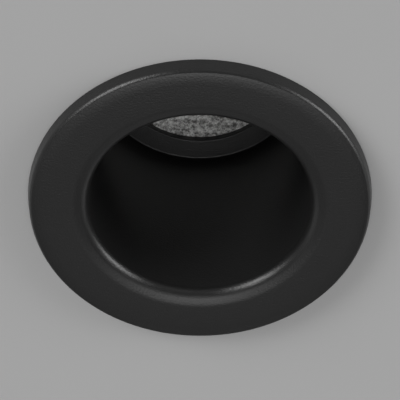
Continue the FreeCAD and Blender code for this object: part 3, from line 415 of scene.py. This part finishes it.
def smooth_with_creases(mesh, degrees=32):
    """Smooth shading, broken where two faces meet at more than so many degrees."""
    mesh.polygons.foreach_set("use_smooth", [True] * len(mesh.polygons))
    mesh.set_sharp_from_angle(angle=math.radians(degrees))


def bayonet_lug(shape, turn):
    """A lug on the barrel that hooks over the can's tab, with the web that stays under it."""
    for low, high, foot, reach, span in (
        (lug_low, lug_low + lug_thick, lug_reach, lug_reach, lug_span),
        (lug_low - gusset_drop, lug_low + gusset_bite, lug_root + gusset_toe, lug_reach - gusset_inset,
         gusset_span),
    ):
        profile = [(lug_root, low), (foot, low), (reach, high), (lug_root, high)]
        arcs = [
            section_at(shape, profile, math.radians(turn + span * (k / lug_steps - 0.5)))
            for k in range(lug_steps + 1)
        ]
        for here, there in zip(arcs, arcs[1:]):
            bridge(shape, here, there)
        shape.faces.new(arcs[0][::-1])
        shape.faces.new(arcs[-1])


casting = bmesh.new()
casting.from_mesh(turned("bezel_casting", bezel_outline(), bezel_sides))
for k in range(lug_count):
    bayonet_lug(casting, first_lug + 360 / lug_count * k)
bmesh.ops.recalc_face_normals(casting, faces=casting.faces)
bezel_mesh = mesh_of(casting, "bezel_casting")
smooth_with_creases(bezel_mesh)
bezel_mesh.materials.append(powder_coat())
bezel = linked("bezel_casting", bezel_mesh)
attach(bezel, "bezel_assembly")
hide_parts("bezel")


# ---- Lens ---------------------------------------------------------------------------------------
# Toughened glass with a pebbled front, pressed while soft: close rounded grains a millimetre
# across that scatter the light.

lens_radius = 24.0
lens_thick = 3.0
grain_size = 1.0
grain_depth = 0.35
painted_shade_size = 1.4
cloud_size = 4.0
pebbled_radius = 22.4
lens_bevel = 0.3
lens_cell = 0.22
lens_sides = 480


def pebbled_glass():
    """Pressed glass: uneven pale grains, dark flecks of painted shade between them, broad faint clouds."""
    material, tree = blank_material("pressed_pebble_glass")
    place = add(tree, "ShaderNodeTexCoord")
    # painted shade: dark flecks from this noise stand in for the dark lamp chamber seen through the glass
    painted_shade_specks = add(tree, "ShaderNodeTexNoise", Vector=place.outputs["Object"], Scale=1 / (painted_shade_size * MM),
                 Detail=6.0, Roughness=0.85)
    painted_shade_mask = add(tree, "ShaderNodeMapRange", Value=painted_shade_specks.outputs["Fac"])
    painted_shade_mask.inputs["From Min"].default_value = 0.42
    painted_shade_mask.inputs["From Max"].default_value = 0.58
    clouds = add(tree, "ShaderNodeTexNoise", Vector=place.outputs["Object"], Scale=1 / (cloud_size * MM),
                 Detail=3.0)
    pale = add(tree, "ShaderNodeMix", {"data_type": "RGBA"}, Factor=clouds.outputs["Fac"])
    pale.inputs["A"].default_value = linear("FFFFFE")
    pale.inputs["B"].default_value = linear("F2F2EF")
    tone = add(tree, "ShaderNodeMix", {"data_type": "RGBA"}, Factor=painted_shade_mask.outputs[0])
    # painted shade: the near-black of the flecks
    tone.inputs["A"].default_value = linear("585755")
    tree.links.new(pale.outputs["Result"], tone.inputs["B"])
    glass = add(tree, "ShaderNodeBsdfPrincipled", Base_Color=tone.outputs["Result"], Roughness=0.35,
                IOR=1.5)
    add(tree, "ShaderNodeOutputMaterial", Surface=glass.outputs[0])
    return material


def pebbled_lens_tree(material):
    """A disc of glass whose front is raised into grains by a cell pattern, up to the gasket."""
    tree = bpy.data.node_groups.new("pebbled_lens", "GeometryNodeTree")
    sockets = tree.interface
    sockets.new_socket("Geometry", in_out="OUTPUT", socket_type="NodeSocketGeometry")
    sockets.new_socket("Geometry", in_out="INPUT", socket_type="NodeSocketGeometry")
    for name in ("Grain Size", "Grain Depth", "Rim"):
        sockets.new_socket(name, in_out="INPUT", socket_type="NodeSocketFloat")
    source = add(tree, "NodeGroupInput")
    place = add(tree, "GeometryNodeInputPosition")
    per_grain = add(tree, "ShaderNodeMath", {"operation": "DIVIDE"}, _0=1.0,
                    _1=source.outputs["Grain Size"])
    cells = add(tree, "ShaderNodeTexVoronoi", {"feature": "SMOOTH_F1", "voronoi_dimensions": "2D"},
                Vector=place.outputs[0], Scale=per_grain.outputs[0], Smoothness=0.35)
    fall = add(tree, "ShaderNodeMath", {"operation": "MULTIPLY"}, _0=cells.outputs["Distance"],
               _1=cells.outputs["Distance"])
    rise = add(tree, "ShaderNodeMath", {"operation": "MULTIPLY"}, _0=fall.outputs[0],
               _1=source.outputs["Grain Depth"])
    reach = add(tree, "ShaderNodeVectorMath", {"operation": "LENGTH"}, _0=place.outputs[0])
    inside = add(tree, "FunctionNodeCompare", {"operation": "LESS_THAN"}, _0=reach.outputs["Value"],
                 _1=source.outputs["Rim"])
    shift = add(tree, "ShaderNodeCombineXYZ", Z=rise.outputs[0])
    moved = add(tree, "GeometryNodeSetPosition", Geometry=source.outputs["Geometry"],
                Selection=inside.outputs[0], Offset=shift.outputs[0])
    finish = add(tree, "GeometryNodeSetMaterial", Geometry=moved.outputs[0], Material=material)
    add(tree, "NodeGroupOutput", Geometry=finish.outputs[0])
    return tree


def lens_blank_mesh():
    """The lens before its grains: a flat front of fine faces, a bevelled edge and a plain back."""
    shape = bmesh.new()
    centre = shape.verts.new((0, 0, lens_z * MM))
    flat_radius = lens_radius - lens_bevel
    back_z = lens_z + lens_thick
    count = math.ceil(lens_radius / lens_cell)
    rings = [ring_of(shape, flat_radius * i / count, lens_z, lens_sides) for i in range(1, count + 1)]
    for radius, height in (
        (lens_radius, lens_z + lens_bevel), (lens_radius, back_z - lens_bevel), (flat_radius, back_z),
    ):
        rings.append(ring_of(shape, radius, height, lens_sides))
    for k in range(lens_sides):
        shape.faces.new((centre, rings[0][(k + 1) % lens_sides], rings[0][k]))
    for inner, outer in zip(rings, rings[1:]):
        bridge(shape, inner, outer)
    shape.faces.new(rings[-1])
    bmesh.ops.recalc_face_normals(shape, faces=shape.faces)
    return mesh_of(shape, "lens_blank")


def set_inputs(modifier, values):
    """Gives a Geometry Nodes modifier its named inputs, by each socket's identifier."""
    for item in modifier.node_group.interface.items_tree:
        if item.in_out == "INPUT" and item.name in values:
            modifier[item.identifier] = values[item.name]


def finished_mesh(piece):
    """What a piece's modifiers make of it, as a plain mesh."""
    bpy.context.view_layer.update()
    return bpy.data.meshes.new_from_object(piece.evaluated_get(bpy.context.evaluated_depsgraph_get()))


blank = linked("lens_blank", lens_blank_mesh())
pebbles = blank.modifiers.new("pebbles", "NODES")
pebbles.node_group = pebbled_lens_tree(pebbled_glass())
set_inputs(pebbles, {"Grain Size": grain_size * MM, "Grain Depth": grain_depth * MM,
                     "Rim": pebbled_radius * MM})
lens_mesh = finished_mesh(blank)
bpy.data.objects.remove(blank)
smooth_with_creases(lens_mesh, degrees=60)
lens = linked("pebbled_lens", lens_mesh)
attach(lens, "bezel_assembly")
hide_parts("lens")


# ---- Seals --------------------------------------------------------------------------------------
# A milky silicone ring round the lens, a flat silicone ring between bezel and can, and black
# closed-cell foam between the can's rim and the soffit. All are pushed or stuck in place.

weld_distance = 0.0005


def dress(node, name, body, material):
    """The CAD piece with its triangles joined and shaded smooth between its creases."""
    shape = bmesh.new()
    shape.from_mesh(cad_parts[node].data)
    bmesh.ops.remove_doubles(shape, verts=shape.verts, dist=weld_distance * MM)
    mesh = mesh_of(shape, name)
    mesh.materials.clear()
    mesh.materials.append(material)
    smooth_with_creases(mesh)
    piece = linked(name, mesh)
    flats = piece.modifiers.new("flat_faces", "WEIGHTED_NORMAL")
    flats.keep_sharp = True
    piece.data = finished_mesh(piece)
    piece.modifiers.clear()
    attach(piece, body)
    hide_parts(node)


def silicone_rubber():
    """Silicone, moulded: milky grey, soft sheen, a little dust on it."""
    material, tree = blank_material("silicone_rubber")
    place = add(tree, "ShaderNodeTexCoord")
    dust = add(tree, "ShaderNodeTexNoise", Vector=place.outputs["Object"], Scale=1 / (2 * MM), Detail=4.0)
    tone = add(tree, "ShaderNodeMix", {"data_type": "RGBA"}, Factor=dust.outputs["Fac"])
    tone.inputs["A"].default_value = linear("C4C4C2")
    tone.inputs["B"].default_value = linear("B2B2AF")
    skin = add(tree, "ShaderNodeBsdfPrincipled", Base_Color=tone.outputs["Result"], Roughness=0.4, IOR=1.41)
    add(tree, "ShaderNodeOutputMaterial", Surface=skin.outputs[0])
    return material


def black_rubber(name, cell, depth):
    """Carbon-filled rubber or foam: near black, dull, its cells as small pits. Sizes in mm."""
    material, tree = blank_material(name)
    place = add(tree, "ShaderNodeTexCoord")
    pits = add(tree, "ShaderNodeTexVoronoi", Vector=place.outputs["Object"], Scale=1 / (cell * MM))
    bump = add(tree, "ShaderNodeBump", Height=pits.outputs["Distance"], Strength=0.5, Distance=depth * MM)
    bloom = add(tree, "ShaderNodeTexNoise", Vector=place.outputs["Object"], Scale=1 / (4 * MM), Detail=5.0)
    tone = add(tree, "ShaderNodeMix", {"data_type": "RGBA"}, Factor=bloom.outputs["Fac"])
    tone.inputs["A"].default_value = linear("1B1B1B")
    tone.inputs["B"].default_value = linear("2A2A2A")
    skin = add(tree, "ShaderNodeBsdfPrincipled", Base_Color=tone.outputs["Result"], Roughness=0.75,
               Normal=bump.outputs[0])
    add(tree, "ShaderNodeOutputMaterial", Surface=skin.outputs[0])
    return material


silicone = silicone_rubber()
foam = black_rubber("closed_cell_foam", cell=0.5, depth=0.1)
dress("lens_gasket", "lens_u_gasket", "bezel_assembly", silicone)
dress("bezel_seal", "bezel_flat_seal", "bezel_assembly", silicone)
dress("soffit_gasket", "soffit_foam_ring", "can_assembly", foam)


# ---- Can, cap and lens clamp --------------------------------------------------------------------
# The can is deep-drawn and trimmed from galvanised sheet, and its cap and the ring that clamps the
# lens are pressed from the same sheet. Rivets hold the cap, and three screws the ring.


def galvanised_sheet():
    """Zinc-coated steel: soft grey, with faint crystals and fine draw lines along the wall."""
    material, tree = blank_material("galvanised_sheet")
    place = add(tree, "ShaderNodeTexCoord")
    crystals = add(tree, "ShaderNodeTexVoronoi", Vector=place.outputs["Object"], Scale=1 / (3.5 * MM))
    shade = add(tree, "ShaderNodeSeparateColor", Color=crystals.outputs["Color"])
    tone = add(tree, "ShaderNodeMix", {"data_type": "RGBA"}, Factor=shade.outputs[0])
    tone.inputs["A"].default_value = linear("A3A6A9")
    tone.inputs["B"].default_value = linear("979A9D")
    stretch = add(tree, "ShaderNodeMapping", Vector=place.outputs["Object"])
    stretch.inputs["Scale"].default_value = (1, 1, 0.04)
    lines = add(tree, "ShaderNodeTexNoise", Vector=stretch.outputs[0], Scale=1 / (0.6 * MM), Detail=2.0)
    bump = add(tree, "ShaderNodeBump", Height=lines.outputs["Fac"], Strength=0.12, Distance=0.02 * MM)
    dull = add(tree, "ShaderNodeMapRange", Value=shade.outputs[1])
    dull.inputs["To Min"].default_value = 0.53
    dull.inputs["To Max"].default_value = 0.59
    zinc = add(tree, "ShaderNodeBsdfPrincipled", Base_Color=tone.outputs["Result"], Metallic=1.0,
               Roughness=dull.outputs[0], Normal=bump.outputs[0])
    add(tree, "ShaderNodeOutputMaterial", Surface=zinc.outputs[0])
    return material


zinc_sheet = galvanised_sheet()
dress("can", "can_shell", "can_assembly", zinc_sheet)
dress("can_cap", "can_top_cap", "can_assembly", zinc_sheet)
dress("lens_clamp", "lens_clamp_ring", "bezel_assembly", zinc_sheet)


# ---- Rivets, screws and hinge pins --------------------------------------------------------------
# Turned and headed from steel and zinc plated. The screws of the clamp, holder, lid and earth tag
# have pan heads with a cross recess pressed into them.

screw_sides = 40
tip_bevel = 0.4
head_round = 0.6      # share of the head's height
cross_arm = 0.6       # shares of the head's radius
cross_half = 0.15
cross_floor = 0.3     # share of the head's height
punch_over = 0.3
punch_taper = (1.1, 0.55)


def bright_zinc():
    """Bright zinc plate: smooth, slightly blue, brighter than the sheet."""
    material, tree = blank_material("bright_zinc_plate")
    place = add(tree, "ShaderNodeTexCoord")
    film = add(tree, "ShaderNodeTexNoise", Vector=place.outputs["Object"], Scale=1 / (1.5 * MM), Detail=3.0)
    tone = add(tree, "ShaderNodeMix", {"data_type": "RGBA"}, Factor=film.outputs["Fac"])
    tone.inputs["A"].default_value = linear("C9CCD1")
    tone.inputs["B"].default_value = linear("BBBEC6")
    plate = add(tree, "ShaderNodeBsdfPrincipled", Base_Color=tone.outputs["Result"], Metallic=1.0,
                Roughness=0.28)
    add(tree, "ShaderNodeOutputMaterial", Surface=plate.outputs[0])
    return material


zinc_plate = bright_zinc()
for node, name in (
    ("cap_rivets", "cap_rivet_set"), ("bracket_rivets", "bracket_rivet_set"),
    ("clip_pin_left", "hinge_pin_left"), ("clip_pin_right", "hinge_pin_right"),
    ("terminal_screws", "terminal_screw_set"),
):
    dress(node, name, "can_assembly", zinc_plate)


def cross_punch(head_radius, head_height):
    """The tapered cross that presses the recess into a screw's head."""
    arm, half = cross_arm * head_radius, cross_half * head_radius
    cross = [(arm, -half), (arm, half), (half, half), (half, arm), (-half, arm), (-half, half),
             (-arm, half), (-arm, -half), (-half, -half), (-half, -arm), (half, -arm), (half, -half)]
    shape = bmesh.new()
    top, tip = (
        [shape.verts.new((x * share * MM, y * share * MM, z * MM)) for x, y in cross]
        for z, share in zip((head_height + punch_over, head_height * cross_floor), punch_taper)
    )
    bridge(shape, top, tip)
    shape.faces.new(top)
    shape.faces.new(tip[::-1])
    bmesh.ops.recalc_face_normals(shape, faces=shape.faces)
    return mesh_of(shape, "cross_punch")


def cross_screw(shank_radius, head_radius, head_height, length):
    """A pan-head screw with a cross recess. Its head sits on z = 0 and its shank points down."""
    shape = bmesh.new()
    shape.from_mesh(turned("screw_blank", rounded([
        (0, -length), (shank_radius - tip_bevel, -length), (shank_radius, -length + tip_bevel),
        (shank_radius, 0), (head_radius, 0), (head_radius, head_height, head_height * head_round),
        (0, head_height),
    ]), screw_sides))
    bmesh.ops.remove_doubles(shape, verts=shape.verts, dist=weld_distance * MM)
    bmesh.ops.recalc_face_normals(shape, faces=shape.faces)
    blank = linked("screw_blank", mesh_of(shape, "screw_blank"))
    punch = linked("cross_punch", cross_punch(head_radius, head_height))
    press = blank.modifiers.new("recess", "BOOLEAN")
    press.operation = "DIFFERENCE"
    press.solver = "EXACT"
    press.object = punch
    pressed = finished_mesh(blank)
    bpy.data.objects.remove(punch)
    bpy.data.objects.remove(blank)
    return pressed


def screw_circle_tree(material):
    """Screws set out on a circle, each turned with its place."""
    tree = bpy.data.node_groups.new("screw_circle", "GeometryNodeTree")
    sockets = tree.interface
    sockets.new_socket("Geometry", in_out="OUTPUT", socket_type="NodeSocketGeometry")
    for name, kind in (("Geometry", "Geometry"), ("Screw", "Object"), ("Count", "Int"),
                       ("Circle", "Float"), ("Height", "Float"), ("First Turn", "Float")):
        sockets.new_socket(name, in_out="INPUT", socket_type="NodeSocket" + kind)
    source = add(tree, "NodeGroupInput")
    index = add(tree, "GeometryNodeInputIndex")
    step = add(tree, "ShaderNodeMath", {"operation": "DIVIDE"}, _0=2 * math.pi, _1=source.outputs["Count"])
    swing = add(tree, "ShaderNodeMath", {"operation": "MULTIPLY_ADD"}, _0=index.outputs[0],
                _1=step.outputs[0], _2=source.outputs["First Turn"])
    sides = []
    for operation in ("COSINE", "SINE"):
        share = add(tree, "ShaderNodeMath", {"operation": operation}, _0=swing.outputs[0])
        side = add(tree, "ShaderNodeMath", {"operation": "MULTIPLY"}, _0=share.outputs[0],
                   _1=source.outputs["Circle"])
        sides.append(side.outputs[0])
    spot = add(tree, "ShaderNodeCombineXYZ", X=sides[0], Y=sides[1], Z=source.outputs["Height"])
    points = add(tree, "GeometryNodePoints", Count=source.outputs["Count"], Position=spot.outputs[0])
    screw = add(tree, "GeometryNodeObjectInfo", Object=source.outputs["Screw"])
    turn = add(tree, "ShaderNodeCombineXYZ", Z=swing.outputs[0])
    screws = add(tree, "GeometryNodeInstanceOnPoints", Points=points.outputs[0],
                 Instance=screw.outputs["Geometry"], Rotation=turn.outputs[0])
    real = add(tree, "GeometryNodeRealizeInstances", Geometry=screws.outputs[0])
    finish = add(tree, "GeometryNodeSetMaterial", Geometry=real.outputs[0], Material=material)
    add(tree, "NodeGroupOutput", Geometry=finish.outputs[0])
    return tree


def spot_of(node):
    """The place of a single screw in the frame, as its distance from the axis and its turn."""
    low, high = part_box(node)
    x, y = (low.x + high.x) / 2 / MM, (low.y + high.y) / 2 / MM
    return math.hypot(x, y), math.degrees(math.atan2(y, x))


screw_sets = (
    # node, name, body, (shank radius, head radius, head height, length), count, circle, first turn
    ("lens_clamp_screws", "clamp_screw_set", "bezel_assembly", (1.25, 1.8, 1.4, 5.4), 3, 27.0, 30.0),
    ("holder_screws", "holder_screw_set", "can_assembly", (1.45, 2.7, 2.0, 9.0), 2, 9.0, 0.0),
    ("lid_screw", "box_lid_screw", "can_assembly", (1.5, 2.7, 1.8, 8.0), 1, *spot_of("lid_screw")),
    ("earth_screw", "earth_clamp_screw", "can_assembly", (1.7, 2.7, 2.0, 5.5), 1, *spot_of("earth_screw")),
)
screw_tree = screw_circle_tree(zinc_plate)
for node, name, body, size, count, circle, first in screw_sets:
    head_height = size[2]
    screw = linked("screw", cross_screw(*size))
    carrier = linked("screw_carrier", bpy.data.meshes.new("screw_carrier"))
    setting = carrier.modifiers.new("screws", "NODES")
    setting.node_group = screw_tree
    set_inputs(setting, {
        "Screw": screw, "Count": count, "Circle": circle * MM,
        "Height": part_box(node)[1].z - head_height * MM, "First Turn": math.radians(first),
    })
    screw_mesh = finished_mesh(carrier)
    bpy.data.objects.remove(carrier)
    bpy.data.objects.remove(screw)
    smooth_with_creases(screw_mesh, degrees=40)
    piece = linked(name, screw_mesh)
    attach(piece, body)
    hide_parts(node)


# ---- Spring clips -------------------------------------------------------------------------------
# Each clip is a pressed bracket, a pressed arm with a rubber sleeve on its end, and a torsion
# spring of drawn wire wound round the hinge pin. The real spring twists as the arm swings; this
# one keeps a single shape.

pin_reach = (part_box("clip_pin_right")[0].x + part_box("clip_pin_right")[1].x) / 2 / MM
pin_height = (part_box("clip_pin_right")[0].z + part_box("clip_pin_right")[1].z) / 2 / MM
wire_radius = 0.45
coil_radius = 1.55
coil_pitch = 1.35
coil_turns = 4
coil_start = 180.0
coil_steps = 160
bracket_leg = 9.0
arm_leg = 5.0
leg_lift = 18.0
arm_droop = 20.0
arm_strip_top = -0.6
wire_gap = 0.2
bend_reach = 0.45     # share of the shorter leg beside the bend
bend_steps = 8


def spring_route():
    """Points of the wire in mm about the pin: down the bracket, round the pin and out on the arm."""
    quarter_turn = 90.0
    coil_end = coil_start + 360.0 * coil_turns + quarter_turn + leg_lift - arm_droop
    width = coil_pitch * (coil_end - coil_start) / 360
    coil = []
    for k in range(coil_steps + 1):
        turn = coil_start + (coil_end - coil_start) * k / coil_steps
        a = math.radians(turn)
        rise = coil_pitch * (turn - coil_start) / 360 - width / 2
        coil.append(Vector((coil_radius * math.cos(a), rise, coil_radius * math.sin(a))))
    slope = coil_pitch / (2 * math.pi)
    first_way, last_way = (
        Vector((-coil_radius * math.sin(a), slope, coil_radius * math.cos(a))).normalized()
        for a in (math.radians(coil_start), math.radians(coil_end))
    )
    droop = math.radians(arm_droop)
    along = Vector((math.cos(droop), 0, -math.sin(droop)))
    off = Vector((math.sin(droop), 0, math.cos(droop)))
    wire_rest = arm_strip_top + wire_radius + wire_gap
    run = (wire_rest - coil[-1].dot(off)) / last_way.dot(off)
    knee = coil[-1] + last_way * run
    back = bend_reach * min(run, arm_leg)
    bend = [
        (1 - t) ** 2 * (knee - last_way * back) + 2 * t * (1 - t) * knee + t ** 2 * (knee + along * back)
        for t in (k / bend_steps for k in range(bend_steps + 1))
    ]
    return [coil[0] - first_way * bracket_leg] + coil + bend + [knee + along * arm_leg]


def wire_mesh(name, points):
    """The spring's wire along points in mm, as a capped tube."""
    curve = bpy.data.curves.new(name, "CURVE")
    curve.dimensions = "3D"
    curve.bevel_depth = wire_radius * MM
    curve.bevel_resolution = 4
    curve.use_fill_caps = True
    spline = curve.splines.new("POLY")
    spline.points.add(len(points) - 1)
    for spot, point in zip(spline.points, points):
        spot.co = (*(point * MM), 1)
    carrier = linked(name, curve)
    mesh = finished_mesh(carrier)
    bpy.data.objects.remove(carrier)
    return mesh


def drawn_wire():
    """Patented spring wire, oiled: darker than zinc, with fine draw marks."""
    material, tree = blank_material("drawn_spring_wire")
    place = add(tree, "ShaderNodeTexCoord")
    marks = add(tree, "ShaderNodeTexNoise", Vector=place.outputs["Object"], Scale=1 / (0.25 * MM),
                Detail=2.0)
    tone = add(tree, "ShaderNodeMix", {"data_type": "RGBA"}, Factor=marks.outputs["Fac"])
    tone.inputs["A"].default_value = linear("8C8C8E")
    tone.inputs["B"].default_value = linear("7A7A7C")
    steel = add(tree, "ShaderNodeBsdfPrincipled", Base_Color=tone.outputs["Result"], Metallic=1.0,
                Roughness=0.3)
    add(tree, "ShaderNodeOutputMaterial", Surface=steel.outputs[0])
    return material


spring_wire = drawn_wire()
moulded_rubber = black_rubber("moulded_black_rubber", cell=0.3, depth=0.02)
route = spring_route()
for side, turn in (("right", 0.0), ("left", math.pi)):
    spring_mesh = wire_mesh(f"torsion_spring_{side}", route)
    spring_mesh.transform(
        Matrix.Rotation(turn, 4, "Z") @ Matrix.Translation(Vector((pin_reach, 0, pin_height)) * MM))
    spring_mesh.materials.append(spring_wire)
    smooth_with_creases(spring_mesh, degrees=50)
    spring = linked(f"torsion_spring_{side}", spring_mesh)
    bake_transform(spring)
    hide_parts(f"clip_spring_{side}")
    dress(f"clip_bracket_{side}", f"hinge_bracket_{side}", "can_assembly", zinc_sheet)
    dress(f"clip_arm_{side}", f"spring_arm_{side}", f"clip_{side}", zinc_sheet)
    dress(f"arm_pad_{side}", f"rubber_sleeve_{side}", f"clip_{side}", moulded_rubber)


# ---- Lamp and lampholder ------------------------------------------------------------------------
# A 50 mm twist-lock lamp with a moulded white body and an opal cover, in a holder of unglazed
# steatite with brass contact leaves.


def moulded_or_fired(name, light, dark, patch, roughness, ior=1.5, grain_width=0.4, grain_height=0.02):
    """Plastic or ceramic: its colour drifts slightly over patches, with a fine grain. Sizes in mm."""
    material, tree = blank_material(name)
    place = add(tree, "ShaderNodeTexCoord")
    drift = add(tree, "ShaderNodeTexNoise", Vector=place.outputs["Object"], Scale=1 / (patch * MM),
                Detail=4.0)
    tone = add(tree, "ShaderNodeMix", {"data_type": "RGBA"}, Factor=drift.outputs["Fac"])
    tone.inputs["A"].default_value = linear(light)
    tone.inputs["B"].default_value = linear(dark)
    grain = add(tree, "ShaderNodeTexNoise", Vector=place.outputs["Object"], Scale=1 / (grain_width * MM),
                Detail=2.0)
    bump = add(tree, "ShaderNodeBump", Height=grain.outputs["Fac"], Strength=0.3,
               Distance=grain_height * MM)
    body = add(tree, "ShaderNodeBsdfPrincipled", Base_Color=tone.outputs["Result"], Roughness=roughness,
               IOR=ior, Normal=bump.outputs[0])
    add(tree, "ShaderNodeOutputMaterial", Surface=body.outputs[0])
    return material


def brass(name, light, dark, roughness):
    """Brass sheet or pins: a clean metal whose film of air tarnish drifts over a millimetre or so."""
    material, tree = blank_material(name)
    place = add(tree, "ShaderNodeTexCoord")
    film = add(tree, "ShaderNodeTexNoise", Vector=place.outputs["Object"], Scale=1 / (1.2 * MM), Detail=3.0)
    tone = add(tree, "ShaderNodeMix", {"data_type": "RGBA"}, Factor=film.outputs["Fac"])
    tone.inputs["A"].default_value = linear(light)
    tone.inputs["B"].default_value = linear(dark)
    metal = add(tree, "ShaderNodeBsdfPrincipled", Base_Color=tone.outputs["Result"], Metallic=1.0,
                Roughness=roughness)
    add(tree, "ShaderNodeOutputMaterial", Surface=metal.outputs[0])
    return material


# an even white with a low sheen, and an opal one that is softer
white_moulding = moulded_or_fired("moulded_white_pbt", "E9E9E6", "E2E2DE", patch=12, roughness=0.35)
opal_cover = moulded_or_fired("opal_polycarbonate", "EEEEEC", "E8E8E6", patch=15, roughness=0.45)
# cream lacquer on the lamp's board
circuit_board = moulded_or_fired("white_solder_mask", "DADAD2", "D0D0C8", patch=3, roughness=0.4)
# fired and left bare: off-white, dry and slightly rough
steatite = moulded_or_fired("unglazed_steatite", "E0DDD4", "D3CFC4", patch=5, roughness=0.7,
                            grain_height=0.05)
# nickel leaves brass pale and bright; rolled brass is warm yellow
nickel_brass = brass("nickel_plated_brass", "CFCABB", "C0BAA8", roughness=0.25)
plain_brass = brass("rolled_brass", "CDA55A", "BA9148", roughness=0.35)
dress("lamp_shell", "lamp_body", "lamp", white_moulding)
dress("lamp_base", "lamp_foot", "lamp", white_moulding)
dress("lamp_lens", "lamp_front_cover", "lamp", opal_cover)
dress("lamp_board", "lamp_circuit_board", "lamp", circuit_board)
dress("lamp_pins", "lamp_pin_pair", "lamp", nickel_brass)
dress("lampholder", "steatite_holder", "can_assembly", steatite)
dress("holder_contacts", "contact_leaves", "can_assembly", plain_brass)


# ---- Terminal box and its wiring ----------------------------------------------------------------
# Moulded grey box and lid, a white terminal block with brass tubes, sleeved leads, and an earth
# tag. The box is textured from its mould.

# mid grey, with the coarser grain of a spark-eroded mould
box_plastic = moulded_or_fired("moulded_grey_polycarbonate", "A9ABAD", "A1A3A6", patch=20, roughness=0.55,
                               ior=1.58, grain_width=0.5, grain_height=0.06)
# unpigmented: cream white, waxy
block_plastic = moulded_or_fired("natural_polyamide", "E4E1D6", "DAD6C9", patch=6, roughness=0.45)
# drawn on or extruded: plain colours with a soft sheen
brown_sleeve = moulded_or_fired("brown_silicone_sleeve", "5A3520", "4E2C1A", patch=5, roughness=0.5)
blue_sleeve = moulded_or_fired("blue_silicone_sleeve", "2B5C9E", "254F8C", patch=5, roughness=0.5)
green_insulation = moulded_or_fired("green_insulation", "3E8A3E", "347A36", patch=5, roughness=0.5)
dress("terminal_box", "moulded_box", "can_assembly", box_plastic)
dress("box_lid", "moulded_lid", "can_assembly", box_plastic)
dress("terminal_block", "block_body", "can_assembly", block_plastic)
dress("terminal_tubes", "brass_tubes", "can_assembly", plain_brass)
dress("earth_tag", "crimped_earth_tag", "can_assembly", nickel_brass)
dress("lead_grommet", "moulded_grommet", "can_assembly", moulded_rubber)
dress("live_lead", "sleeved_live_lead", "can_assembly", brown_sleeve)
dress("neutral_lead", "sleeved_neutral_lead", "can_assembly", blue_sleeve)
dress("earth_lead", "insulated_earth_lead", "can_assembly", green_insulation)


# ---- Cable gland --------------------------------------------------------------------------------
# Black nylon body, lock nut and cap, all moulded, round a rubber seal that the cap squeezes on to
# a cable. The body passes the side of the terminal box, and the nut holds it there.

# near black, silky
nylon = moulded_or_fired("moulded_black_nylon", "242425", "1C1C1D", patch=8, roughness=0.45)
dress("gland_body", "gland_stem", "can_assembly", nylon)
dress("gland_nut", "gland_lock_nut", "can_assembly", nylon)
dress("gland_cap", "gland_clamp_cap", "can_assembly", nylon)
dress("gland_seal", "gland_rubber_seal", "can_assembly", moulded_rubber)
